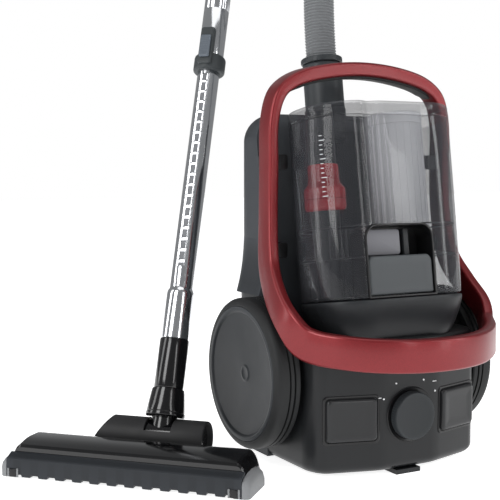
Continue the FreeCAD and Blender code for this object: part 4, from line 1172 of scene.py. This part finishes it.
def makeNeck():
    # half-round hood over the pivot, its left end cut on a slant
    radius, bore = 0.0205, 0.01765
    loops = []
    for x in (0, 0.3, 0.6, 1):
        loop = []
        for k in range(48):
            way = math.tau * k / 48
            rise = (math.sin(way) + 1) / 2
            left = -0.077 + 0.024 * rise ** 1.5
            loop.append((left + (0.0585 - left) * x, radius * math.cos(way), radius * math.sin(way)))
        loops.append(loop)

    def circle(x, r):
        return [(x, r * math.cos(math.tau * k / 48), r * math.sin(math.tau * k / 48)) for k in range(48)]
    rim = [circle(0.0597, radius - 0.0006), circle(0.06, bore + 0.0008)]
    inner = [[(p[0] + (0.0015 if i == 0 else 0), p[1] * bore / radius, p[2] * bore / radius) for p in loop]
        for i, loop in enumerate(loops)]
    hood = loops + rim + inner[::-1]
    place = nozzlePlace @ move(0, 0.0999, 0.0305)
    piece = Shape().skin(hood, place, ring=True).build("neckHood", neckGrey, "floor_head", "neck_cover",
        "dark_grip", 40)
    slot = Shape().slab(0.0162, 0.0249, 0.001, -0.003, 0.06, 0.0005, (0.006, 0.0071), place)
    subtracted(piece, cutter(slot))
    behind = Shape().slab(0.0242, 0.016, 0.001, -0.015, 0.004, 0.0005, (0.003, 0.02), place)
    subtracted(piece, cutter(behind))
    low = Shape().slab(0.12, 0.06, 0.001, -0.05, -0.0182, 0.0002, (0, 0), place)
    subtracted(piece, cutter(low))


def makeElbow():
    barrel = [(0, -0.048), (0.016, -0.048), (0.017, -0.047), (0.0172, -0.0455), (0.0172, 0.0455), (0.017, 0.047),
        (0.016, 0.048), (0, 0.048)]
    elbow = Shape().spin(barrel, wandPlace @ turn(90, "Y"), 72)
    stem = [(0.008, 0.005), (0.015, 0.005), (0.0154, 0.012), (0.0146, 0.0212), (0.0212, 0.0213), (0.0222, 0.022),
        (0.0226, 0.0234), (0.0225, 0.0262),
        (0.0217, 0.027), (0.0219, 0.028), (0.0212, 0.035), (0.0203, 0.042), (0.0194, 0.049), (0.0186, 0.053),
        (0.0176, 0.0537), (0.008, 0.0537)]
    elbow.spin(stem, wandPlace, 96)
    elbow.build("neckElbow", glossBlack, "elbow", "neck_elbow", "dark_grip", 40)


makeCover()
makeFrontPanel()
makeSkirts()
makeBrush()
makeNeck()
makeElbow()
print("nozzle done")

# ---- finishes for the frame's own nodes
carried = {
    "rear_hull": hullBlack, "base_foot": shellBlack, "exhaust_grille": shellBlack, "cord_outlet": cuffGrey,
    "nozzle_base": panelGrey,
    "housing_screws": steel, "wheel_axles": steel, "caster_axle": steel, "reel_axle": steel, "reel_spring": steel,
    "roller_axles": steel, "motor_can": steel, "motor_rotor": steel, "fan_cover": innerGrey, "reel_drum": innerGrey,
    "reel_frame": innerGrey,
    "control_board": innerGrey, "switch_blocks": innerGrey, "caster_fork": innerGrey, "caster_wheel": treadBlack,
    "front_rollers": treadBlack, "rear_roller": treadBlack, "motor_seal": treadBlack, "foam_filter": foamGrey,
    "exhaust_filter": foamGrey,
}
for word, finish in carried.items():
    mesh = nodes[word].data
    mesh.materials.clear()
    mesh.materials.append(finish.material)
print("frame nodes finished")

modelBox = [[float(v) for v in corner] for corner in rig.bounds()]
with open("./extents.json", "w") as note:
    json.dump({"cad": cadBox, "model": modelBox}, note)
